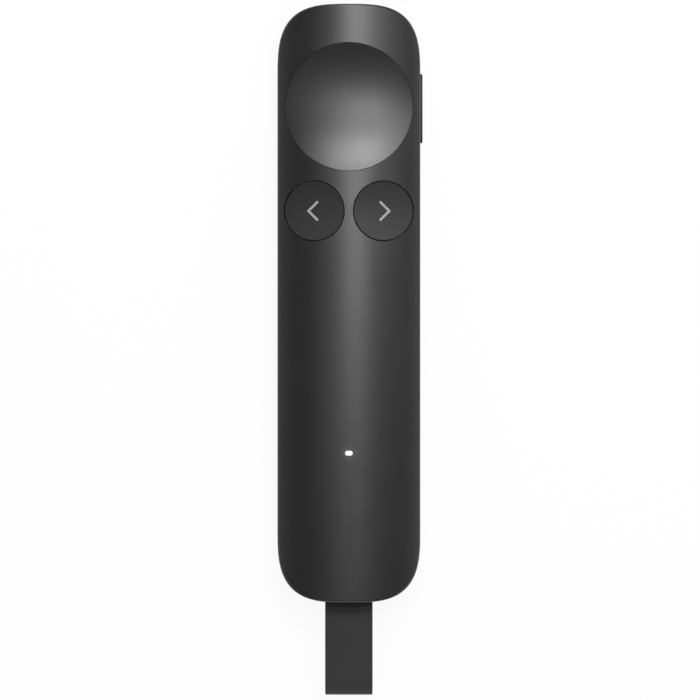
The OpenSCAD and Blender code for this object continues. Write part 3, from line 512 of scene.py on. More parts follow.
class Form:
    """A mesh under construction, in millimetres. Rings run anticlockwise seen from outside."""

    def __init__(self):
        self.points = []
        self.normals = []
        self.faces = []
        self.maps = []

    def ring(self, places, normals=None):
        """Adds points, with their normals where they are known, and gives their numbers."""
        first = len(self.points)
        self.points += [Vector(place) for place in places]
        self.normals += normals or [Vector((0, 0, 0))] * len(places)
        return list(range(first, len(self.points)))

    def face(self, corners, uv=None):
        """Adds a face on numbered points. uv gives its corners on the map."""
        self.faces.append(corners)
        self.maps.append(uv or [(0.0, 0.0)] * len(corners))

    def bridge(self, first, second, uv=None):
        """Faces between two rings. uv gives the map's row lines and column lines."""
        count = len(first)
        for k in range(count):
            n = (k + 1) % count
            corners = (first[k], first[n], second[n], second[k])
            spots = None
            if uv:
                rows, columns = uv
                spots = [(columns[k], rows[0]), (columns[k + 1], rows[0]),
                         (columns[k + 1], rows[1]), (columns[k], rows[1])]
            self.face(corners, spots)

    def chain(self, rings, closed=False):
        """Joins rings one after the other."""
        for first, second in zip(rings, rings[1:]):
            self.bridge(first, second)
        if closed:
            self.bridge(rings[-1], rings[0])

    def fill(self, loop, axes=(0, 1), reverse=False):
        """Closes a loop with triangles in the plane of two axes."""
        spots = [Vector([self.points[k][axis] for axis in axes]) for k in loop]
        edges = [(k, (k + 1) % len(loop)) for k in range(len(loop))]
        result = delaunay_2d_cdt(spots, edges, [], 1, 1e-6)
        for triangle in result[2]:
            corners = [loop[result[3][k][0]] for k in triangle]
            self.face(corners[::-1] if reverse else corners)

    def drape(self, outer, holes, height, normal=None, spacing=1.1, reverse=False):
        """Covers an outline with holes by a triangulated surface of the given height at (x, y)."""
        row_spacing = spacing * 1.4
        margin = spacing * 0.45
        loops = [np.array([self.points[k].xy for k in loop]) for loop in (outer, *holes)]
        low, high = loops[0].min(0), loops[0].max(0)
        grid = []
        for number, y in enumerate(np.arange(low[1], high[1], row_spacing)):
            shift = spacing / 2 * (number % 2)
            grid += [(x + shift, y) for x in np.arange(low[0], high[0], spacing)]
        grid = np.array(grid)
        keep = inside(loops[0], grid) & (clearance(loops[0], grid) > margin)
        for loop in loops[1:]:
            keep &= ~inside(loop, grid) & (clearance(loop, grid) > margin)
        grid = grid[keep]
        places = [(x, y, height(x, y)) for x, y in grid]
        numbers = self.ring(places, [normal(x, y) for x, y in grid] if normal else None)
        numbers = [k for loop in (outer, *holes) for k in loop] + numbers
        spots = [Vector(spot) for loop in loops for spot in loop] + [Vector(spot) for spot in grid]
        edges = []
        for loop in loops:
            first = len(edges)
            edges += [(first + k, first + (k + 1) % len(loop)) for k in range(len(loop))]
        result = delaunay_2d_cdt(spots, edges, [], 1, 1e-7)
        triangles = np.array(result[2])
        flat = np.array([spot[:] for spot in result[0]])
        centres = flat[triangles].mean(1)
        hollow = np.zeros(len(centres), bool)
        for loop in loops[1:]:
            hollow |= inside(loop, centres)
        for triangle in triangles[~hollow]:
            corners = [numbers[result[3][k][0]] for k in triangle]
            self.face(corners[::-1] if reverse else corners)

    def build(self, name, slot, mapped=False):
        """The finished object."""
        mesh = bpy.data.meshes.new(name)
        mesh.from_pydata([point * MM for point in self.points], [], self.faces, shade_flat=False)
        mesh.set_sharp_from_angle(angle=SHARP)
        if any(normal.length for normal in self.normals):
            mesh.normals_split_custom_set_from_vertices(self.normals)
        if mapped:
            layer = mesh.uv_layers.new(name="UVMap")
            for spot, target in zip([spot for face in self.maps for spot in face], layer.data):
                target.uv = (spot[0] * MM, spot[1] * MM)
        return as_piece(name, mesh, slot)


def as_piece(name, mesh, slot):
    """An object for a mesh, with the finish of a slot."""
    mesh.materials.clear()
    mesh.materials.append(finish_of(slot))
    piece = bpy.data.objects.new(name, mesh)
    bpy.context.scene.collection.objects.link(piece)
    return piece


def inside(loop, spots):
    """Which spots lie inside a closed loop."""
    x, y = spots[:, 0, None], spots[:, 1, None]
    start, end = loop, np.roll(loop, -1, axis=0)
    spans = (start[:, 1] > y) != (end[:, 1] > y)
    rise = np.where(end[:, 1] == start[:, 1], 1.0, end[:, 1] - start[:, 1])
    crossing = (end[:, 0] - start[:, 0]) * (y - start[:, 1]) / rise + start[:, 0]
    return (spans & (x < crossing)).sum(1) % 2 == 1


def clearance(loop, spots):
    """Distance from each spot to a closed loop."""
    start = loop[None]
    run = np.roll(loop, -1, axis=0)[None] - start
    offset = spots[:, None] - start
    share = np.clip((offset * run).sum(2) / (run * run).sum(2), 0, 1)
    return np.linalg.norm(offset - share[..., None] * run, axis=2).min(1)


def quarter(steps):
    """Angles from 0 to 90 degrees, in radians."""
    return [math.pi / 2 * k / steps for k in range(steps + 1)]


def rounding(radius, steps):
    """Inset and drop at each step of a rounded edge, from the foot of its side up to its face."""
    return [(radius * (1 - math.cos(a)), radius * (1 - math.sin(a))) for a in quarter(steps)]


def unit_circle(count):
    """Outline of a circle of radius 1, anticlockwise."""
    turns = [2 * math.pi * k / count for k in range(count)]
    return [(math.cos(a), math.sin(a)) for a in turns]


def two_dots(radius, pitch, count=20):
    """Outline of two overlapping circles, about their common middle."""
    bite = math.acos(pitch / 2 / radius)
    sweep = math.pi - bite
    arc = [-sweep + 2 * sweep * k / count for k in range(count + 1)]
    right = [(pitch / 2 + radius * math.cos(a), radius * math.sin(a)) for a in arc]
    return right + [(-x, -y) for x, y in right[1:-1]]


def rounded_rect(width, height, radius, steps=6):
    """Outline of a rectangle with round corners, anticlockwise."""
    outline = []
    for turn, (sx, sy) in enumerate(((1, 1), (-1, 1), (-1, -1), (1, -1))):
        for angle in quarter(steps):
            a = angle + turn * math.pi / 2
            outline.append((sx * (width / 2 - radius) + radius * math.cos(a),
                            sy * (height / 2 - radius) + radius * math.sin(a)))
    return outline


# ---------------------------------------------------------------------------------------------
# The body's plan and crown
# ---------------------------------------------------------------------------------------------

# A place on the body's outline, with the direction that points straight out of it
Column = namedtuple("Column", "x y out_x out_y")

DOCK_HALF_W = SLEEVE_HIGH.x
DOCK_HALF_H = (SLEEVE_HIGH.z - SLEEVE_LOW.z) / 2
# Distance past an opening at which its edge is back at the seam
STEP = 0.01
# How far the side key's flange reaches past the key at each end, and its thickness
FLANGE_OUT = 1.0
FLANGE_T = 1.05
# Columns around a rear corner, along a straight side and around a front corner
REAR_COLUMNS = 34
SIDE_COLUMNS = 66
FRONT_COLUMNS = 44


class Body:
    """The body's plan, crown and openings."""

    def __init__(self, scene):
        shell = scene.clicker_shell
        receiver = scene.clicker_receiver
        self.crown_r = shell.crown_radius / MM
        self.end_l = shell.end_length / MM
        self.power = shell.end_exponent
        self.top_edge = shell.top_edge / MM
        self.bottom_edge = shell.bottom_edge / MM
        self.wall = shell.wall / MM
        self.seam_edge = shell.seam_edge / MM
        self.dock_corner = (receiver.corner + receiver.dock_gap + receiver.sleeve_wall) / MM
        self.notch_h = (SIDE_HIGH.z - SIDE_LOW.z) / 2 + shell.side_gap / MM
        self.notch_reach = (SIDE_HIGH.y - SIDE_LOW.y) / 2 - FLANGE_OUT + shell.side_gap / MM
        self.columns = self.make_columns()

    def crown(self, x, y=0):
        """Height of the crown, which is the same all along the body."""
        return TOP_Z - self.crown_r + math.sqrt(self.crown_r**2 - x * x)

    def crown_normal(self, x, y=0):
        return Vector((x, 0, math.sqrt(self.crown_r**2 - x * x))) / self.crown_r

    def end_spot(self, angle):
        """A point on a rounded end, from the middle of its straight edge."""
        across = abs(math.cos(angle)) / HALF_W
        along = abs(math.sin(angle)) / self.end_l
        reach = (across**self.power + along**self.power) ** (-1 / self.power)
        return reach * math.cos(angle), reach * math.sin(angle)

    def end_reach(self, x, width, length):
        """How far a rounded end reaches along one axis, at a place x along the other."""
        return length * (1 - (x / width) ** self.power) ** (1 / self.power)

    def end_column(self, x, y, side):
        """A column at a point of a rounded end. side is 1 for the front and -1 for the rear."""
        out = Vector(((x / HALF_W) ** (self.power - 1) / HALF_W,
                      (y / self.end_l) ** (self.power - 1) / self.end_l)).normalized()
        return Column(x, side * (FRONT_Y - self.end_l + y), out.x, side * out.y)

    def rear_stops(self):
        """Distances from the centre line at which the rear end has a column."""
        flat = DOCK_HALF_W - self.dock_corner
        steps = 5
        beside = 0.6
        stops = [flat * k / steps for k in range(steps)]
        stops += [flat + self.dock_corner * math.sin(a) for a in quarter(6)]
        return stops + [DOCK_HALF_W + STEP, DOCK_HALF_W + beside]

    def notch_stops(self):
        """Places along the body at which the side key's opening has a column."""
        stops = [self.notch_reach - drop for _, drop in rounding(self.notch_h, 8)]
        stops.append(self.notch_reach + STEP)
        return [SIDE_Y + side * stop for side in (-1, 1) for stop in stops]

    def straight_stops(self):
        """Places along the straight sides at which they have a column."""
        exact = self.notch_stops()
        room = 0.35
        straight = FRONT_Y - self.end_l
        plain = [straight * (2 * k / SIDE_COLUMNS - 1) for k in range(1, SIDE_COLUMNS)]
        plain = [stop for stop in plain if min(abs(stop - each) for each in exact) > room]
        return sorted(stop for stop in plain + exact if abs(stop) < straight - STEP)

    def make_columns(self):
        """The closed outline, anticlockwise from the rear tip."""
        # The right half: past the dock first, then around the rear corner
        right = []
        for x in self.rear_stops():
            right.append(self.end_column(x, self.end_reach(x, HALF_W, self.end_l), -1))
        last = right[-1]
        start = math.atan2(-last.y - FRONT_Y + self.end_l, last.x)
        for k in range(1, REAR_COLUMNS + 1):
            right.append(self.end_column(*self.end_spot(start * (1 - k / REAR_COLUMNS)), -1))
        right += [Column(HALF_W, y, 1.0, 0.0) for y in self.straight_stops()]
        # The side key's opening runs on into the front corner and needs columns of its own there
        exact = [stop - FRONT_Y + self.end_l for stop in self.notch_stops()]
        exact = [stop for stop in exact if stop > STEP]
        room = 0.1
        spots = [self.end_spot(a) for a in quarter(FRONT_COLUMNS)]
        spots = [spot for spot in spots if all(abs(spot[1] - stop) > room for stop in exact)]
        spots += [(self.end_reach(stop, self.end_l, HALF_W), stop) for stop in exact]
        spots.sort(key=lambda spot: spot[1])
        right += [self.end_column(x, y, 1) for x, y in spots]
        right[-1] = Column(0.0, FRONT_Y, 0.0, 1.0)
        left = [Column(-c.x, c.y, -c.out_x, c.out_y) for c in right[-2:0:-1]]
        return right + left

    def spot(self, column, inset):
        """The place that lies a distance inside the outline at a column."""
        return column.x - inset * column.out_x, column.y - inset * column.out_y

    def in_dock(self, column):
        """Whether a column stands in the dock's opening."""
        return column.y < 0 and abs(column.x) < DOCK_HALF_W + STEP / 2

    def dock_rise(self, column):
        """Height of the dock opening's edge above or below its axis."""
        over = abs(column.x) - (DOCK_HALF_W - self.dock_corner)
        if over <= 0:
            return DOCK_HALF_H
        arc = math.sqrt(max(0.0, self.dock_corner**2 - over * over))
        return DOCK_HALF_H - self.dock_corner + arc

    def top_rim(self, column):
        """Height of the top shell's lower edge."""
        if self.in_dock(column):
            return DOCK_Z + self.dock_rise(column)
        reach = abs(column.y - SIDE_Y)
        if column.x > HALF_W - STEP and reach < self.notch_reach + STEP / 2:
            over = max(0.0, reach - self.notch_reach + self.notch_h)
            return SIDE_Z + math.sqrt(max(0.0, self.notch_h**2 - over * over))
        return SEAM_Z

    def bottom_rim(self, column):
        """Height of the bottom shell's upper edge, which fills the corners under the side key's ends."""
        if self.in_dock(column):
            return DOCK_Z - self.dock_rise(column)
        reach = abs(column.y - SIDE_Y)
        over = reach - self.notch_reach + self.notch_h
        if column.x > HALF_W - STEP and 0 < over < self.notch_h + STEP / 2:
            return SIDE_Z - math.sqrt(max(0.0, self.notch_h**2 - over * over))
        return SEAM_Z


def top_shell(body, shell, trim):
    """The crowned upper half of the case, with its openings."""
    form = Form()
    columns = body.columns
    rims = [body.top_rim(column) for column in columns]
    # Where the crown comes down to a rim, the wall still stands this far above it
    lowest = body.seam_edge + 0.02

    def level(inset, height_of, normal=None):
        """A ring along the outline. height_of gives a place's height from its x and its rim."""
        places = []
        for column, rim in zip(columns, rims):
            x, y = body.spot(column, inset)
            places.append((x, y, height_of(x, rim)))
        return form.ring(places, [normal(x) for x, _, _ in places] if normal else None)

    rings = [level(inset, lambda x, rim: rim + drop)
             for inset, drop in rounding(body.seam_edge, 3)[::-1]]
    # A ring at the foot of the top edge's rounding and one just below it keep the wall's shading even
    for below, short in ((0.12, 0.012), (0.0, 0.0)):
        rings.append(level(0, lambda x, rim: max(
            body.crown(x) - body.top_edge - below, rim + lowest - short)))
    for inset, drop in rounding(body.top_edge, 10)[1:]:
        rings.append(level(
            inset, lambda x, rim: max(body.crown(x) - drop, rim + lowest),
            None if drop else body.crown_normal))
    inner_roof = level(body.wall, lambda x, rim: body.crown(x) - body.wall)
    inner_rim = level(body.wall, lambda x, rim: rim)
    form.chain(rings)
    form.chain([inner_roof, inner_rim, rings[0]])

    dish_r = DISH_R + shell.dish_gap / MM
    key_r = KEY_R + shell.key_gap / MM
    light_gap, light_edge = 0.02, 0.05
    dots = two_dots(trim.light_dot / 2 / MM + light_gap, trim.light_pitch / MM)
    openings = [
        (unit_circle(144), (0, DISH_Y), dish_r, shell.dish_edge / MM),
        (unit_circle(96), (-KEY_X, KEY_Y), key_r, shell.key_edge / MM),
        (unit_circle(96), (KEY_X, KEY_Y), key_r, shell.key_edge / MM),
        (dots, (0, LIGHT_Y), 1.0, light_edge),
    ]
    outer_loops, inner_loops = [], []
    for outline, (middle_x, middle_y), size, edge in openings:
        spread = max(math.hypot(*spot) for spot in outline)
        holes = []
        for inset, drop in rounding(edge, 6)[::-1]:
            grow = size + inset / spread
            spots = [(middle_x + u * grow, middle_y + v * grow) for u, v in outline]
            holes.append(form.ring(
                [(x, y, body.crown(x) - drop) for x, y in spots],
                None if drop else [body.crown_normal(x) for x, y in spots]))
        spots = [(middle_x + u * size, middle_y + v * size) for u, v in outline]
        holes.append(form.ring([(x, y, body.crown(x) - body.wall) for x, y in spots]))
        form.chain(holes)
        outer_loops.append(holes[0])
        inner_loops.append(holes[-1])
    form.drape(rings[-1], outer_loops, body.crown, body.crown_normal)
    form.drape(inner_roof, inner_loops, lambda x, y: body.crown(x) - body.wall, None, 2.6, True)
    return form


def bottom_shell(body):
    """The lower half of the case, with the recess for its pad."""
    form = Form()
    pad_gap = 0.05
    columns = body.columns
    edge = body.seam_edge
    radius = body.bottom_edge
    inner_r = radius - body.wall
    rims = [body.bottom_rim(column) for column in columns]
    pad_inset = HALF_W - PAD_HIGH.x - pad_gap
    recess_z = PAD_HIGH.z

    def level(spot_of):
        """A ring along the outline. spot_of gives a place's inset and height from its rim."""
        places = []
        for column, rim in zip(columns, rims):
            inset, z = spot_of(rim)
            places.append((*body.spot(column, inset), z))
        return form.ring(places)

    def top_angle(rim):
        """Angle at which the outer skin ends, below the rim's rounding."""
        return math.asin(max(0.0, (SEAM_Z - rim + edge) / radius))

    def outer(share):
        """The outer skin, from the underside at share 0 up to the rim at 1."""
        def spot(rim):
            a = math.pi / 2 + (top_angle(rim) - math.pi / 2) * share
            return radius * (1 - math.cos(a)), SEAM_Z - radius * math.sin(a)
        return spot

    def rim_edge(inset, drop):
        return lambda rim: (radius * (1 - math.cos(top_angle(rim))) + inset, rim - drop)

    def inner(share):
        """The inner skin, from the rim at share 0 down to the floor at 1."""
        def spot(rim):
            top = math.asin(min(1.0, max(0.0, (SEAM_Z - rim) / inner_r)))
            a = top + (math.pi / 2 - top) * share
            z = SEAM_Z - inner_r * math.sin(a)
            return radius - inner_r * math.cos(a), z if share else max(z, rim)
        return spot

    outer_steps, inner_steps = 14, 6
    recess = level(lambda rim: (pad_inset, recess_z))
    rings = [recess, level(lambda rim: (pad_inset, BASE_Z))]
    rings += [level(outer(k / outer_steps)) for k in range(outer_steps + 1)]
    rings += [level(rim_edge(inset, drop)) for inset, drop in rounding(edge, 3)[1:]]
    rings += [level(inner(k / inner_steps)) for k in range(inner_steps + 1)]
    form.chain(rings)
    form.fill(recess, reverse=True)
    form.fill(rings[-1])
    return form


# Width of the grip pad's lip, and depth of the ribbed field inside it
PAD_LIP = 1.3
FIELD_DEPTH = 0.16


def base_pad(body):
    """The grip pad, with a raised lip around its ribbed field."""
    form = Form()
    inset = HALF_W - PAD_HIGH.x
    edge = 0.14
    slope, chamfer_h, chamfer_w = 0.1, 0.02, 0.03

    def level(extra, height):
        spots = [body.spot(column, inset + extra) for column in body.columns]
        return form.ring([(*spot, PAD_LOW.z + height) for spot in spots])

    rings = [level(PAD_LIP + slope, FIELD_DEPTH), level(PAD_LIP, chamfer_h),
             level(PAD_LIP - chamfer_w, 0)]
    rings += [level(extra, height) for extra, height in rounding(edge, 4)[::-1]]
    rings.append(level(0, PAD_HIGH.z - PAD_LOW.z))
    form.chain(rings)
    form.fill(rings[0], reverse=True)
    form.fill(rings[-1])
    return form


def chevron(body, caps, trim, side):
    """The printed arrowhead on a key. side is -1 for the back key and 1 for the next key."""
    form = Form()
    reach = trim.chevron_height / 2 / MM
    cut = trim.chevron_stroke / math.sqrt(2) / MM
    tip = trim.chevron_shift / MM + (reach + cut) / 2
    corners = [(tip, 0), (tip - reach, reach), (tip - reach - cut, reach - cut), (tip - 2 * cut, 0),
               (tip - reach - cut, cut - reach), (tip - reach, -reach)]
    outline = []
    spacing = 0.25
    for (ax, ay), (bx, by) in zip(corners, corners[1:] + corners[:1]):
        steps = max(1, round(math.hypot(bx - ax, by - ay) / spacing))
        outline += [(ax + (bx - ax) * k / steps, ay + (by - ay) * k / steps) for k in range(steps)]
    if side < 0:
        outline = [(-x, y) for x, y in outline[::-1]]
    depth, sink = caps.key_depth / MM, caps.key_sink / MM
    buried = 0.2

    def level(lift):
        """The outline, lifted off the key's hollow face."""
        places = []
        for across, along in outline:
            x = side * KEY_X + across
            hollow = depth * (1 - (across * across + along * along) / KEY_R**2)
            places.append((x, KEY_Y + along, body.crown(x) - sink - hollow + lift))
        return form.ring(places)

    low, high = level(-buried), level(trim.chevron_proud / MM)
    form.chain([low, high])
    form.fill(low, reverse=True)
    form.fill(high)
    return form


def side_key(trim):
    """The slim push key on the right edge, with its retaining flange inside the wall."""
    form = Form()
    height = SIDE_HIGH.z - SIDE_LOW.z
    flange_l = SIDE_HIGH.y - SIDE_LOW.y
    key_l = flange_l - 2 * FLANGE_OUT
    flange_x = SIDE_LOW.x + FLANGE_T

    def level(x, span, inset=0.0):
        outline = rounded_rect(span - 2 * inset, height - 2 * inset, height / 2 - inset - SLIVER, 10)
        return form.ring([(x, SIDE_Y + y, SIDE_Z + z) for y, z in outline])

    rings = [level(SIDE_LOW.x, flange_l), level(flange_x, flange_l), level(flange_x, key_l)]
    rings += [level(SIDE_HIGH.x - drop, key_l, inset) for inset, drop in rounding(trim.side_edge / MM, 6)]
    form.chain(rings)
    form.fill(rings[0], (1, 2), reverse=True)
    form.fill(rings[-1], (1, 2))
    return form


def light_dots(body, trim):
    """The clear twin dot of the status light, down to just above its lamp."""
    form = Form()
    radius = trim.light_dot / 2 / MM
    outline = two_dots(radius, trim.light_pitch / MM)
    edge, sink = 0.06, 0.03

    def level(inset, height_of):
        spread = 1 - inset / radius
        return form.ring([(x * spread, LIGHT_Y + y * spread, height_of(x)) for x, y in outline])

    rings = [level(0, lambda x: LIGHT_LOW.z)]
    rings += [level(inset, lambda x: body.crown(x) - sink - drop) for inset, drop in rounding(edge, 4)]
    form.chain(rings)
    form.fill(rings[0], reverse=True)
    form.fill(rings[-1])
    return form


# Half the groove between the receiver's housing and its cap
GROOVE = 0.12


def across_dock(form, y, width, height, radius, inset=0.0):
    """A ring around the dock's axis, anticlockwise seen from the rear."""
    sharpest = 0.05
    outline = rounded_rect(width - 2 * inset, height - 2 * inset, max(radius - inset, sharpest))
    return form.ring([(x, y, DOCK_Z + z) for x, z in outline])


def dock_sleeve(receiver):
    """The lined bay in the rear end, open to the socket at its far end."""
    form = Form()
    wall = receiver.sleeve_wall / MM
    sleeve = (2 * DOCK_HALF_W, 2 * DOCK_HALF_H,
              (receiver.corner + receiver.dock_gap + receiver.sleeve_wall) / MM)
    window = (receiver.socket_width / MM, receiver.socket_height / MM,
              receiver.socket_height / 2 / MM - SLIVER)
    rear, front = SLEEVE_LOW.y, SLEEVE_HIGH.y
    edge = rounding(0.15, 3)
    rings = [across_dock(form, front, *sleeve)]
    rings += [across_dock(form, rear + drop, *sleeve, inset) for inset, drop in edge]
    rings += [across_dock(form, rear + drop, *sleeve, wall - inset) for inset, drop in edge[::-1]]
    rings += [across_dock(form, front - wall, *sleeve, wall),
              across_dock(form, front - wall, *window), across_dock(form, front, *window)]
    form.chain(rings, closed=True)
    return form


def receiver_stick(receiver):
    """The receiver's housing from the plug back to its cap."""
    form = Form()
    wall = 0.8
    stick = (STICK_HIGH.x - STICK_LOW.x, STICK_HIGH.z - STICK_LOW.z, receiver.corner / MM)
    plug_h = PLUG_HIGH.z - PLUG_LOW.z
    plug = (PLUG_HIGH.x - PLUG_LOW.x, plug_h, plug_h / 2 - SLIVER)
    rear, front = STICK_LOW.y, STICK_HIGH.y
    rings = [across_dock(form, front, *plug)]
    rings += [across_dock(form, front - drop, *stick, inset)
              for inset, drop in rounding(receiver.edge / MM, 5)[::-1]]
    rings += [across_dock(form, rear + drop, *stick, inset) for inset, drop in rounding(GROOVE, 3)]
    rings += [across_dock(form, rear, *stick, wall), across_dock(form, front - wall, *stick, wall),
              across_dock(form, front - wall, *plug)]
    form.chain(rings, closed=True)
    return form


def receiver_cap(receiver):
    """The receiver's end cap, with the pocket that the strap comes out of."""
    form = Form()
    height = CAP_HIGH.z - CAP_LOW.z
    cap = (CAP_HIGH.x - CAP_LOW.x, height, receiver.corner / MM)
    pocket_gap, pocket_wall, pocket_corner, pocket_edge = 0.3, 0.6, 0.5, 0.1
    pocket = (LOOP_HIGH.x - LOOP_LOW.x + 2 * pocket_gap, height - 2 * pocket_wall, pocket_corner)
    rear, front = CAP_LOW.y, CAP_HIGH.y
    rings = [across_dock(form, front - drop, *cap, inset) for inset, drop in rounding(GROOVE, 3)[::-1]]
    rings += [across_dock(form, rear + drop, *cap, inset)
              for inset, drop in rounding(receiver.edge / MM, 6)]
    rings += [across_dock(form, rear + drop, *pocket, inset - pocket_edge)
              for inset, drop in rounding(pocket_edge, 3)[::-1]]
    rings.append(across_dock(form, rear + receiver.pocket_depth / MM, *pocket))
    form.chain(rings)
    form.fill(rings[0], (0, 2), reverse=True)
    form.fill(rings[-1], (0, 2))
    return form


def strap_path(strap):
    """Middle line of the strap's loop around its pin and its far fold: points and outward directions."""
    half_t = strap.thickness / 2 / MM
    pin = Vector(((PIN_LOW.y + PIN_HIGH.y) / 2, (PIN_LOW.z + PIN_HIGH.z) / 2))
    pin_r = (PIN_HIGH.z - PIN_LOW.z) / 2 + strap.pin_gap / MM + half_t
    fold_r = strap.fold_radius / MM + half_t
    fold = Vector((LOOP_LOW.y + fold_r + half_t, LOOP_LOW.z + fold_r + half_t))
    run = fold - pin
    heading = math.atan2(run.y, run.x)
    # The straight runs touch both rounds at this angle from the line between their centres
    lean = math.acos((pin_r - fold_r) / run.length)

    def arc(centre, radius, start, sweep, steps):
        """Points and outward directions around a centre, through a sweep from a start angle."""
        points = []
        for k in range(steps + 1):
            a = start + sweep * k / steps
            out = Vector((math.cos(a), math.sin(a)))
            points.append((centre + radius * out, out))
        return points

    fold_steps, pin_steps, run_steps = 28, 20, 16
    around_fold = arc(fold, fold_r, heading - lean, 2 * lean, fold_steps)
    around_pin = arc(pin, pin_r, heading + lean, 2 * (math.pi - lean), pin_steps)
    path = []
    for bend, other in ((around_fold, around_pin), (around_pin, around_fold)):
        path += bend
        (start, out), (end, _) = bend[-1], other[0]
        path += [(start.lerp(end, k / run_steps), out) for k in range(1, run_steps)]
    return path


def run_lengths(loop):
    """How far each point of a closed loop lies along it, and then its whole length."""
    lengths = [0.0]
    for place, following in zip(loop, loop[1:] + loop[:1]):
        lengths.append(lengths[-1] + (following - place).length)
    return lengths


def strap_loop(strap):
    """The flat ribbon, swept around the loop, and the length of its middle line."""
    form = Form()
    thickness = strap.thickness / MM
    edge = min(strap.edge / MM, thickness / 2 - 0.02)
    section = rounded_rect(LOOP_HIGH.x - LOOP_LOW.x, thickness, edge, 4)
    path = strap_path(strap)
    rings = []
    for place, out in path:
        rings.append(form.ring([
            (-across, place.x + out.x * up, place.y + out.y * up) for across, up in section]))
    rows = run_lengths([place for place, _ in path])
    columns = run_lengths([Vector(spot) for spot in section])
    for k, ring in enumerate(rings):
        form.bridge(ring, rings[(k + 1) % len(rings)], ((rows[k], rows[k + 1]), columns))
    return form, rows[-1]


# ---------------------------------------------------------------------------------------------
# Geometry node trees
# ---------------------------------------------------------------------------------------------


def node_group(name, lengths, factors=(), counts=()):
    """A geometry tree with named inputs, as its Nodes and a name-to-Number table of those inputs."""
    tree = bpy.data.node_groups.new(name, "GeometryNodeTree")
    kinds = (("NodeSocketFloat", "DISTANCE", lengths), ("NodeSocketFloat", "NONE", factors),
             ("NodeSocketInt", None, counts), ("NodeSocketMaterial", None, ("Material",)))
    for kind, unit, labels in kinds:
        for label in labels:
            socket = tree.interface.new_socket(name=label, in_out="INPUT", socket_type=kind)
            if unit:
                socket.subtype = unit
    tree.interface.new_socket(name="Geometry", in_out="OUTPUT", socket_type="NodeSocketGeometry")
    nodes = Nodes(tree)
    source = nodes.add("NodeGroupInput")
    return nodes, {each.name: Number(nodes, each) for each in source.outputs if each.name}


def close_tree(nodes, geometry, material):
    """Ends a tree in real geometry with its material."""
    real = nodes.add("GeometryNodeRealizeInstances", {}, {"Geometry": geometry})
    painted = nodes.add(
        "GeometryNodeSetMaterial", {}, {"Geometry": real.outputs[0], "Material": material})
    output = nodes.add("NodeGroupOutput")
    nodes.feed(output.inputs[0], painted.outputs[0])
    return nodes.tree


def push_cap_tree():
    """A round cap whose hollow top follows the crown, as one closed skin.

    A grid is wrapped around the cap's axis. Its rows run from the middle of the top over the rim,
    down the skirt, along the skirt's foot, up inside it and back to the middle of the roof.
    """
    nodes, given = node_group(
        "Push Cap",
        ("Centre X", "Centre Y", "Radius", "Depth", "Sink", "Edge", "Crown Top", "Crown Radius", "Floor",
         "Roof", "Skirt"),
        counts=("Rings", "Sectors"))
    grid = nodes.add("GeometryNodeMeshGrid", {}, {
        "Size X": 1.0, "Size Y": 1.0, "Vertices X": given["Sectors"] + 1,
        "Vertices Y": given["Rings"] + 1})
    u, v, _ = nodes.parts(nodes.out("GeometryNodeInputPosition", 0))
    turn = (u + 0.5) * (2 * math.pi)
    row = 0.5 - v
    # Shares of the rows at which the stretches from the top to the roof end
    stops = (0.0, 0.5, 0.7, 0.76, 0.8, 0.86, 1.0)
    top, rim, skirt, foot, inside_wall, roof = [
        ((row - low) / (high - low)).clamped() for low, high in zip(stops, stops[1:])]
    # The top's rings stand closer together towards its rim
    crowding = 1.6
    radius, edge = given["Radius"], given["Edge"]
    rim_turn = rim * (math.pi / 2)
    out = (radius - edge) * (1 - (1 - top) ** crowding) + edge * rim_turn.sin()
    out = out - given["Skirt"] * foot - (radius - given["Skirt"]) * roof
    x = given["Centre X"] + out * turn.cos()
    y = given["Centre Y"] + out * turn.sin()
    crown_r = given["Crown Radius"]
    crown = given["Crown Top"] - crown_r + (crown_r * crown_r - x * x).root()
    hollow = given["Depth"] * (1 - (out / radius) ** 2.0)
    face = crown - given["Sink"] - hollow
    outer = face - edge * (1 - rim_turn.cos())
    outer = outer + (given["Floor"] - outer) * skirt
    z = outer + (face - given["Roof"] - outer) * inside_wall
    moved = nodes.add("GeometryNodeSetPosition", {}, {
        "Geometry": grid.outputs["Mesh"], "Position": nodes.vector(x, y, z)})
    merged = nodes.add("GeometryNodeMergeByDistance", {}, {
        "Geometry": moved.outputs[0], "Distance": 0.002 * MM})
    return close_tree(nodes, merged.outputs[0], given["Material"])


def grip_rib_tree():
    """Round-topped ribs across the pad, each as long as the pad is wide at its place."""
    nodes, given = node_group(
        "Grip Ribs", ("Pitch", "Width", "Height", "Base", "Half Width", "Half Length", "End Length"),
        factors=("Exponent",), counts=("Count",))
    line = nodes.add("GeometryNodeMeshLine", {"mode": "OFFSET"}, {
        "Count": given["Count"],
        "Start Location": nodes.vector(0.0, (given["Count"] - 1) * given["Pitch"] * -0.5, given["Base"]),
        "Offset": nodes.vector(0.0, given["Pitch"], 0.0)})
    bar = nodes.add("GeometryNodeCurvePrimitiveLine", {}, {"Start": (-1, 0, 0), "End": (1, 0, 0)})
    profile = nodes.add("GeometryNodeCurvePrimitiveCircle", {}, {"Resolution": 12, "Radius": 0.5})
    rod = nodes.add("GeometryNodeCurveToMesh", {}, {
        "Curve": bar.outputs[0], "Profile Curve": profile.outputs[0], "Fill Caps": True})
    _, along, _ = nodes.parts(nodes.out("GeometryNodeInputPosition", 0))
    into_end = (along.absolute() - given["Half Length"] + given["End Length"]) / given["End Length"]
    share = (1 - into_end.clamped() ** given["Exponent"]) ** (1 / given["Exponent"])
    ribs = nodes.add("GeometryNodeInstanceOnPoints", {}, {
        "Points": line.outputs[0], "Instance": rod.outputs[0],
        "Scale": nodes.vector(given["Half Width"] * share, given["Width"], given["Height"] * 2)})
    return close_tree(nodes, ribs.outputs[0], given["Material"])


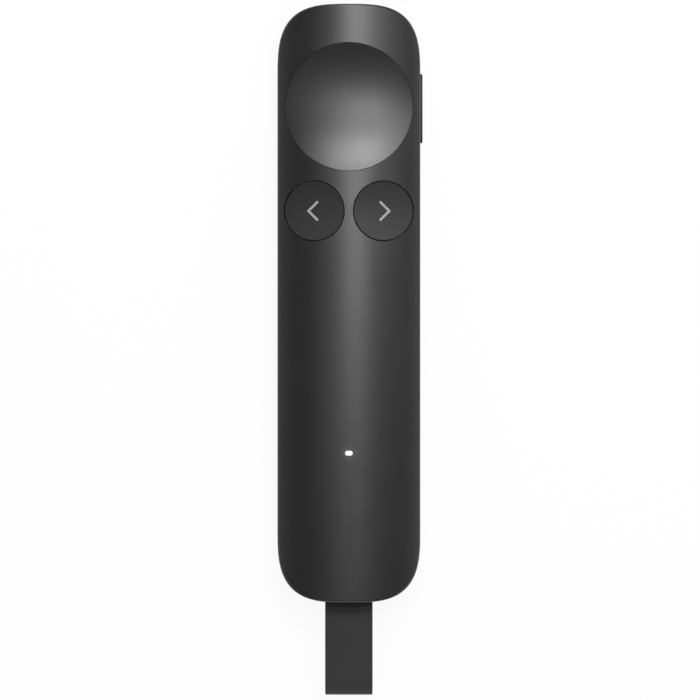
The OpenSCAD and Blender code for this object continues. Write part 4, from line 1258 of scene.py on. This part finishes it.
def grown(name, tree, slot, values):
    """The plain mesh that a geometry tree makes from named values, as an object."""
    carrier = bpy.data.objects.new("carrier", bpy.data.meshes.new("carrier"))
    bpy.context.scene.collection.objects.link(carrier)
    modifier = carrier.modifiers.new(tree.name, "NODES")
    modifier.node_group = tree
    values = {**values, "Material": finish_of(slot)}
    for socket in tree.interface.items_tree:
        if socket.in_out == "INPUT":
            modifier[socket.identifier] = values[socket.name]
    graph = bpy.context.evaluated_depsgraph_get()
    mesh = bpy.data.meshes.new_from_object(carrier.evaluated_get(graph))
    bpy.data.objects.remove(carrier)
    mesh.name = name
    mesh.shade_smooth()
    mesh.set_sharp_from_angle(angle=SHARP)
    return as_piece(name, mesh, slot)


# ---------------------------------------------------------------------------------------------
# Stage
# ---------------------------------------------------------------------------------------------

Lamp = namedtuple("Lamp", "name place size level aim", defaults=[None])

# Places, sizes and aims are in metres. A level is the brightness of the lamp's face. A lamp without
# an aim hangs overhead and shines straight down.
OVERHEAD = 0.5
LAMPS = (
    Lamp("key_near", (0.05, 0.06, OVERHEAD), (0.14, 0.07), 12.0),
    Lamp("key_far", (0.05, 0.225, OVERHEAD), (0.14, 0.09), 21.5),
    Lamp("key_front", (0.015, 0.33, OVERHEAD), (0.14, 0.12), 9.6),
    Lamp("far_left", (-0.06, 0.225, OVERHEAD), (0.08, 0.09), 5.4),
    Lamp("far_right", (0.185, 0.185, OVERHEAD), (0.13, 0.17), 4.4),
    Lamp("right_fill", (0.31, 0.08, OVERHEAD), (0.38, 0.07), 2.5),
    Lamp("left_near", (-0.06, 0.03, OVERHEAD), (0.08, 0.14), 1.6),
    Lamp("left_fill", (-0.175, 0.03, OVERHEAD), (0.15, 0.14), 0.7),
    Lamp("middle", (0.015, -0.005, OVERHEAD), (0.07, 0.07), 0.35),
    Lamp("right_side", (0.65, 0.0, 0.3), (0.8, 0.2), 1.7, (0.0, 0.0, 0.005)),
    Lamp("left_side", (-0.65, 0.0, 0.3), (0.8, 0.2), 1.1, (0.0, 0.0, 0.005)),
    Lamp("rear_low", (0.0, -0.7, 0.25), (0.6, 0.35), 2.2, (0.0, -0.06, 0.005)),
    Lamp("front_low", (0.0, 0.7, 0.25), (0.6, 0.35), 2.2, (0.0, 0.0, 0.005)),
)
# Brightness of the room, and of the floor and room where the camera looks at them
WORLD_LEVEL = 0.17
FLOOR_GLOW = 0.92
CAMERA_PLACE = (0.00025, -0.01023, 2.138)


def make_floor(scene):
    """A wide pale floor just below the object. It keeps a faint shadow and is otherwise near white."""
    reach, drop = 3.0, 0.02 * MM
    corners = [(x * reach, y * reach, -drop) for x, y in ((-1, -1), (1, -1), (1, 1), (-1, 1))]
    mesh = bpy.data.meshes.new("floor")
    mesh.from_pydata(corners, [], [(0, 1, 2, 3)])
    material = bpy.data.materials.new("floor")
    material.use_nodes = True
    material.node_tree.nodes.clear()
    nodes = Nodes(material.node_tree)
    path = nodes.add("ShaderNodeLightPath")
    camera, glossy, through = [Number(nodes, path.outputs[name]) for name in (
        "Is Camera Ray", "Is Glossy Ray", "Is Transmission Ray")]
    share = (camera + glossy + through).clamped() * FLOOR_GLOW
    paint = nodes.add("ShaderNodeBsdfDiffuse", {}, {"Color": rgba(scene.clicker_colours.floor)})
    glow = nodes.add("ShaderNodeEmission", {}, {"Color": (1, 1, 1, 1), "Strength": 1.0})
    both = nodes.add("ShaderNodeMixShader", {}, {0: share, 1: paint.outputs[0], 2: glow.outputs[0]})
    output = nodes.add("ShaderNodeOutputMaterial")
    nodes.feed(output.inputs["Surface"], both.outputs[0])
    mesh.materials.append(material)
    floor = bpy.data.objects.new("floor", mesh)
    scene.collection.objects.link(floor)


def make_world(scene):
    """An even dim room, about as pale as the floor where the camera looks straight at it."""
    world = bpy.data.worlds.new("room")
    world.use_nodes = True
    world.node_tree.nodes.clear()
    nodes = Nodes(world.node_tree)
    path = nodes.add("ShaderNodeLightPath")
    seen = Number(nodes, path.outputs["Is Camera Ray"])
    level = WORLD_LEVEL + seen * (FLOOR_GLOW - WORLD_LEVEL)
    background = nodes.add("ShaderNodeBackground", {}, {"Color": (1, 1, 1, 1), "Strength": level})
    output = nodes.add("ShaderNodeOutputWorld")
    nodes.feed(output.inputs["Surface"], background.outputs[0])
    scene.world = world


def make_lamp(scene, lamp):
    """A soft box that lights the object and is not seen by the camera."""
    light = bpy.data.lights.new(lamp.name, "AREA")
    light.shape = "RECTANGLE"
    light.size, light.size_y = lamp.size
    light.energy = lamp.level * math.pi * light.size * light.size_y
    box = bpy.data.objects.new(lamp.name, light)
    box.location = lamp.place
    if lamp.aim:
        heading = Vector(lamp.aim) - Vector(lamp.place)
        box.rotation_euler = heading.to_track_quat("-Z", "Y").to_euler()
    box.visible_camera = False
    scene.collection.objects.link(box)


def make_camera(scene):
    """A very long lens straight above the object, with +Y at the top of the picture."""
    camera = bpy.data.cameras.new("camera")
    camera.lens = 500
    camera.sensor_width = 36
    camera.clip_start = 0.01
    holder = bpy.data.objects.new("camera", camera)
    holder.location = CAMERA_PLACE
    scene.collection.objects.link(holder)
    scene.camera = holder


# ---------------------------------------------------------------------------------------------
# Operators
# ---------------------------------------------------------------------------------------------


class MakeShells(bpy.types.Operator):
    """Make the top and bottom shells of the case"""

    bl_idname = "clicker.make_shells"
    bl_label = "Shells"

    def execute(self, context):
        scene = context.scene
        body = Body(scene)
        top = top_shell(body, scene.clicker_shell, scene.clicker_trim).build("upper_case", "shell")
        bottom = bottom_shell(body).build("lower_case", "under_shell")
        for piece, node in ((top, "top_shell"), (bottom, "bottom_shell")):
            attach(piece, BODY)
            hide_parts(node)
        return {"FINISHED"}


class MakePad(bpy.types.Operator):
    """Make the grip pad under the case and its ribs"""

    bl_idname = "clicker.make_pad"
    bl_label = "Base Pad"

    def execute(self, context):
        scene = context.scene
        trim, shell = scene.clicker_trim, scene.clicker_shell
        pad = base_pad(Body(scene)).build("grip_pad", "base_pad")
        # The ribs end a little inside the lip
        border = PAD_LIP + 0.2
        half_l = (PAD_HIGH.y - border) * MM
        inset = (HALF_W - PAD_HIGH.x + border) * MM
        ribs = grown("grip_ribs", grip_rib_tree(), "base_pad", {
            "Pitch": trim.rib_pitch, "Count": int(2 * half_l / trim.rib_pitch) - 1,
            "Width": trim.rib_width, "Height": trim.rib_height, "Base": (PAD_LOW.z + FIELD_DEPTH) * MM,
            "Half Width": (PAD_HIGH.x - border) * MM, "Half Length": half_l,
            "End Length": shell.end_length - inset, "Exponent": shell.end_exponent})
        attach(pad, BODY)
        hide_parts("base_pad")
        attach(ribs, BODY)
        return {"FINISHED"}


class MakeCaps(bpy.types.Operator):
    """Make the pointer dish and the two keys"""

    bl_idname = "clicker.make_caps"
    bl_label = "Dish and Keys"

    def execute(self, context):
        scene = context.scene
        caps, shell = scene.clicker_caps, scene.clicker_shell
        tree = push_cap_tree()
        common = {
            "Crown Top": TOP_Z * MM, "Crown Radius": shell.crown_radius, "Floor": caps.floor,
            "Roof": caps.roof, "Skirt": caps.skirt, "Rings": caps.rings, "Sectors": caps.sectors}
        dish = {"Centre X": 0.0, "Centre Y": DISH_Y * MM, "Radius": DISH_R * MM,
                "Depth": caps.dish_depth, "Sink": 0.0, "Edge": caps.dish_edge}
        key = {"Centre Y": KEY_Y * MM, "Radius": KEY_R * MM, "Depth": caps.key_depth,
               "Sink": caps.key_sink, "Edge": caps.key_edge}
        pieces = (
            ("dish_cap", "dish", "pointer_button", "pointer_dish", dish),
            ("back_cap", "key", "back_button", "back_key", {**key, "Centre X": -KEY_X * MM}),
            ("next_cap", "key", "next_button", "next_key", {**key, "Centre X": KEY_X * MM}))
        for name, slot, body, node, values in pieces:
            piece = grown(name, tree, slot, {**common, **values})
            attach(piece, body)
            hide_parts(node)
        return {"FINISHED"}


class MakeChevrons(bpy.types.Operator):
    """Make the printed arrowheads on the two keys"""

    bl_idname = "clicker.make_chevrons"
    bl_label = "Chevrons"

    def execute(self, context):
        scene = context.scene
        body = Body(scene)
        for side, name in ((-1, "back"), (1, "next")):
            form = chevron(body, scene.clicker_caps, scene.clicker_trim, side)
            piece = form.build(name + "_arrow", "icon")
            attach(piece, name + "_button")
            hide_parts(name + "_icon")
        return {"FINISHED"}


class MakeSideKey(bpy.types.Operator):
    """Make the push key on the right edge"""

    bl_idname = "clicker.make_side_key"
    bl_label = "Side Key"

    def execute(self, context):
        piece = side_key(context.scene.clicker_trim).build("edge_key", "side_key")
        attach(piece, "side_button")
        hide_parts("side_key")
        return {"FINISHED"}


class MakeLight(bpy.types.Operator):
    """Make the twin dot of the status light"""

    bl_idname = "clicker.make_light"
    bl_label = "Status Light"

    def execute(self, context):
        scene = context.scene
        piece = light_dots(Body(scene), scene.clicker_trim).build("status_dots", "light_pipe")
        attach(piece, BODY)
        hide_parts("light_pipe")
        return {"FINISHED"}


class MakeReceiver(bpy.types.Operator):
    """Make the dock's lining and the housing and cap of the stored receiver"""

    bl_idname = "clicker.make_receiver"
    bl_label = "Dock and Receiver"

    def execute(self, context):
        receiver = context.scene.clicker_receiver
        pieces = (
            (dock_sleeve(receiver), "dock_lining", BODY, "dock_sleeve"),
            (receiver_stick(receiver), "receiver_housing", "receiver", "receiver_shell"),
            (receiver_cap(receiver), "receiver_end", "receiver", "receiver_cap"))
        for form, name, body, node in pieces:
            piece = form.build(name, "receiver_plastic")
            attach(piece, body)
            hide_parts(node)
        return {"FINISHED"}


class MakeStrap(bpy.types.Operator):
    """Make the woven loop at the rear end"""

    bl_idname = "clicker.make_strap"
    bl_label = "Strap"

    def execute(self, context):
        form, run = strap_loop(context.scene.clicker_strap)
        piece = form.build("strap_ribbon", "strap", mapped=True)
        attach(piece, "strap")
        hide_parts("strap_loop")
        return {"FINISHED"}


class DressFrame(bpy.types.Operator):
    """Give every piece that comes straight from the frame its finish"""

    bl_idname = "clicker.dress_frame"
    bl_label = "Inner Pieces"

    def execute(self, context):
        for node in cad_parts.values():
            for slot in node.material_slots:
                slot.material = finish_of(slot.material.name.removesuffix(PLAIN))
        return {"FINISHED"}


class MakeStage(bpy.types.Operator):
    """Make the floor, the lamps, the world and the camera"""

    bl_idname = "clicker.make_stage"
    bl_label = "Stage"

    def execute(self, context):
        scene = context.scene
        make_floor(scene)
        make_world(scene)
        for lamp in LAMPS:
            make_lamp(scene, lamp)
        make_camera(scene)
        scene.view_settings.view_transform = "Standard"
        return {"FINISHED"}


class ClickerPanel(bpy.types.Panel):
    """The operators and sizes of the clicker"""

    bl_idname = "VIEW3D_PT_clicker"
    bl_label = "Presentation Clicker"
    bl_space_type = "VIEW_3D"
    bl_region_type = "UI"
    bl_category = "Clicker"

    def draw(self, context):
        for operator in OPERATORS:
            self.layout.operator(operator.bl_idname)
        for name in GROUPS:
            group = getattr(context.scene, name)
            box = self.layout.box()
            for key in group.__annotations__:
                box.prop(group, key)


OPERATORS = (
    DressFrame, MakeShells, MakePad, MakeCaps, MakeChevrons, MakeSideKey, MakeLight, MakeReceiver,
    MakeStrap, MakeStage)


def register():
    for group in GROUPS.values():
        bpy.utils.register_class(group)
    for name, group in GROUPS.items():
        setattr(bpy.types.Scene, name, PointerProperty(type=group))
    for operator in OPERATORS:
        bpy.utils.register_class(operator)
    bpy.utils.register_class(ClickerPanel)


def unregister():
    bpy.utils.unregister_class(ClickerPanel)
    for operator in OPERATORS:
        bpy.utils.unregister_class(operator)
    for name, group in GROUPS.items():
        delattr(bpy.types.Scene, name)
        bpy.utils.unregister_class(group)


def main():
    register()
    bpy.ops.clicker.dress_frame()
    bpy.ops.clicker.make_shells()
    bpy.ops.clicker.make_pad()
    bpy.ops.clicker.make_caps()
    bpy.ops.clicker.make_chevrons()
    bpy.ops.clicker.make_side_key()
    bpy.ops.clicker.make_light()
    bpy.ops.clicker.make_receiver()
    bpy.ops.clicker.make_strap()
    bpy.ops.clicker.make_stage()
    bpy.context.view_layer.update()


if __name__ == "__main__":
    main()
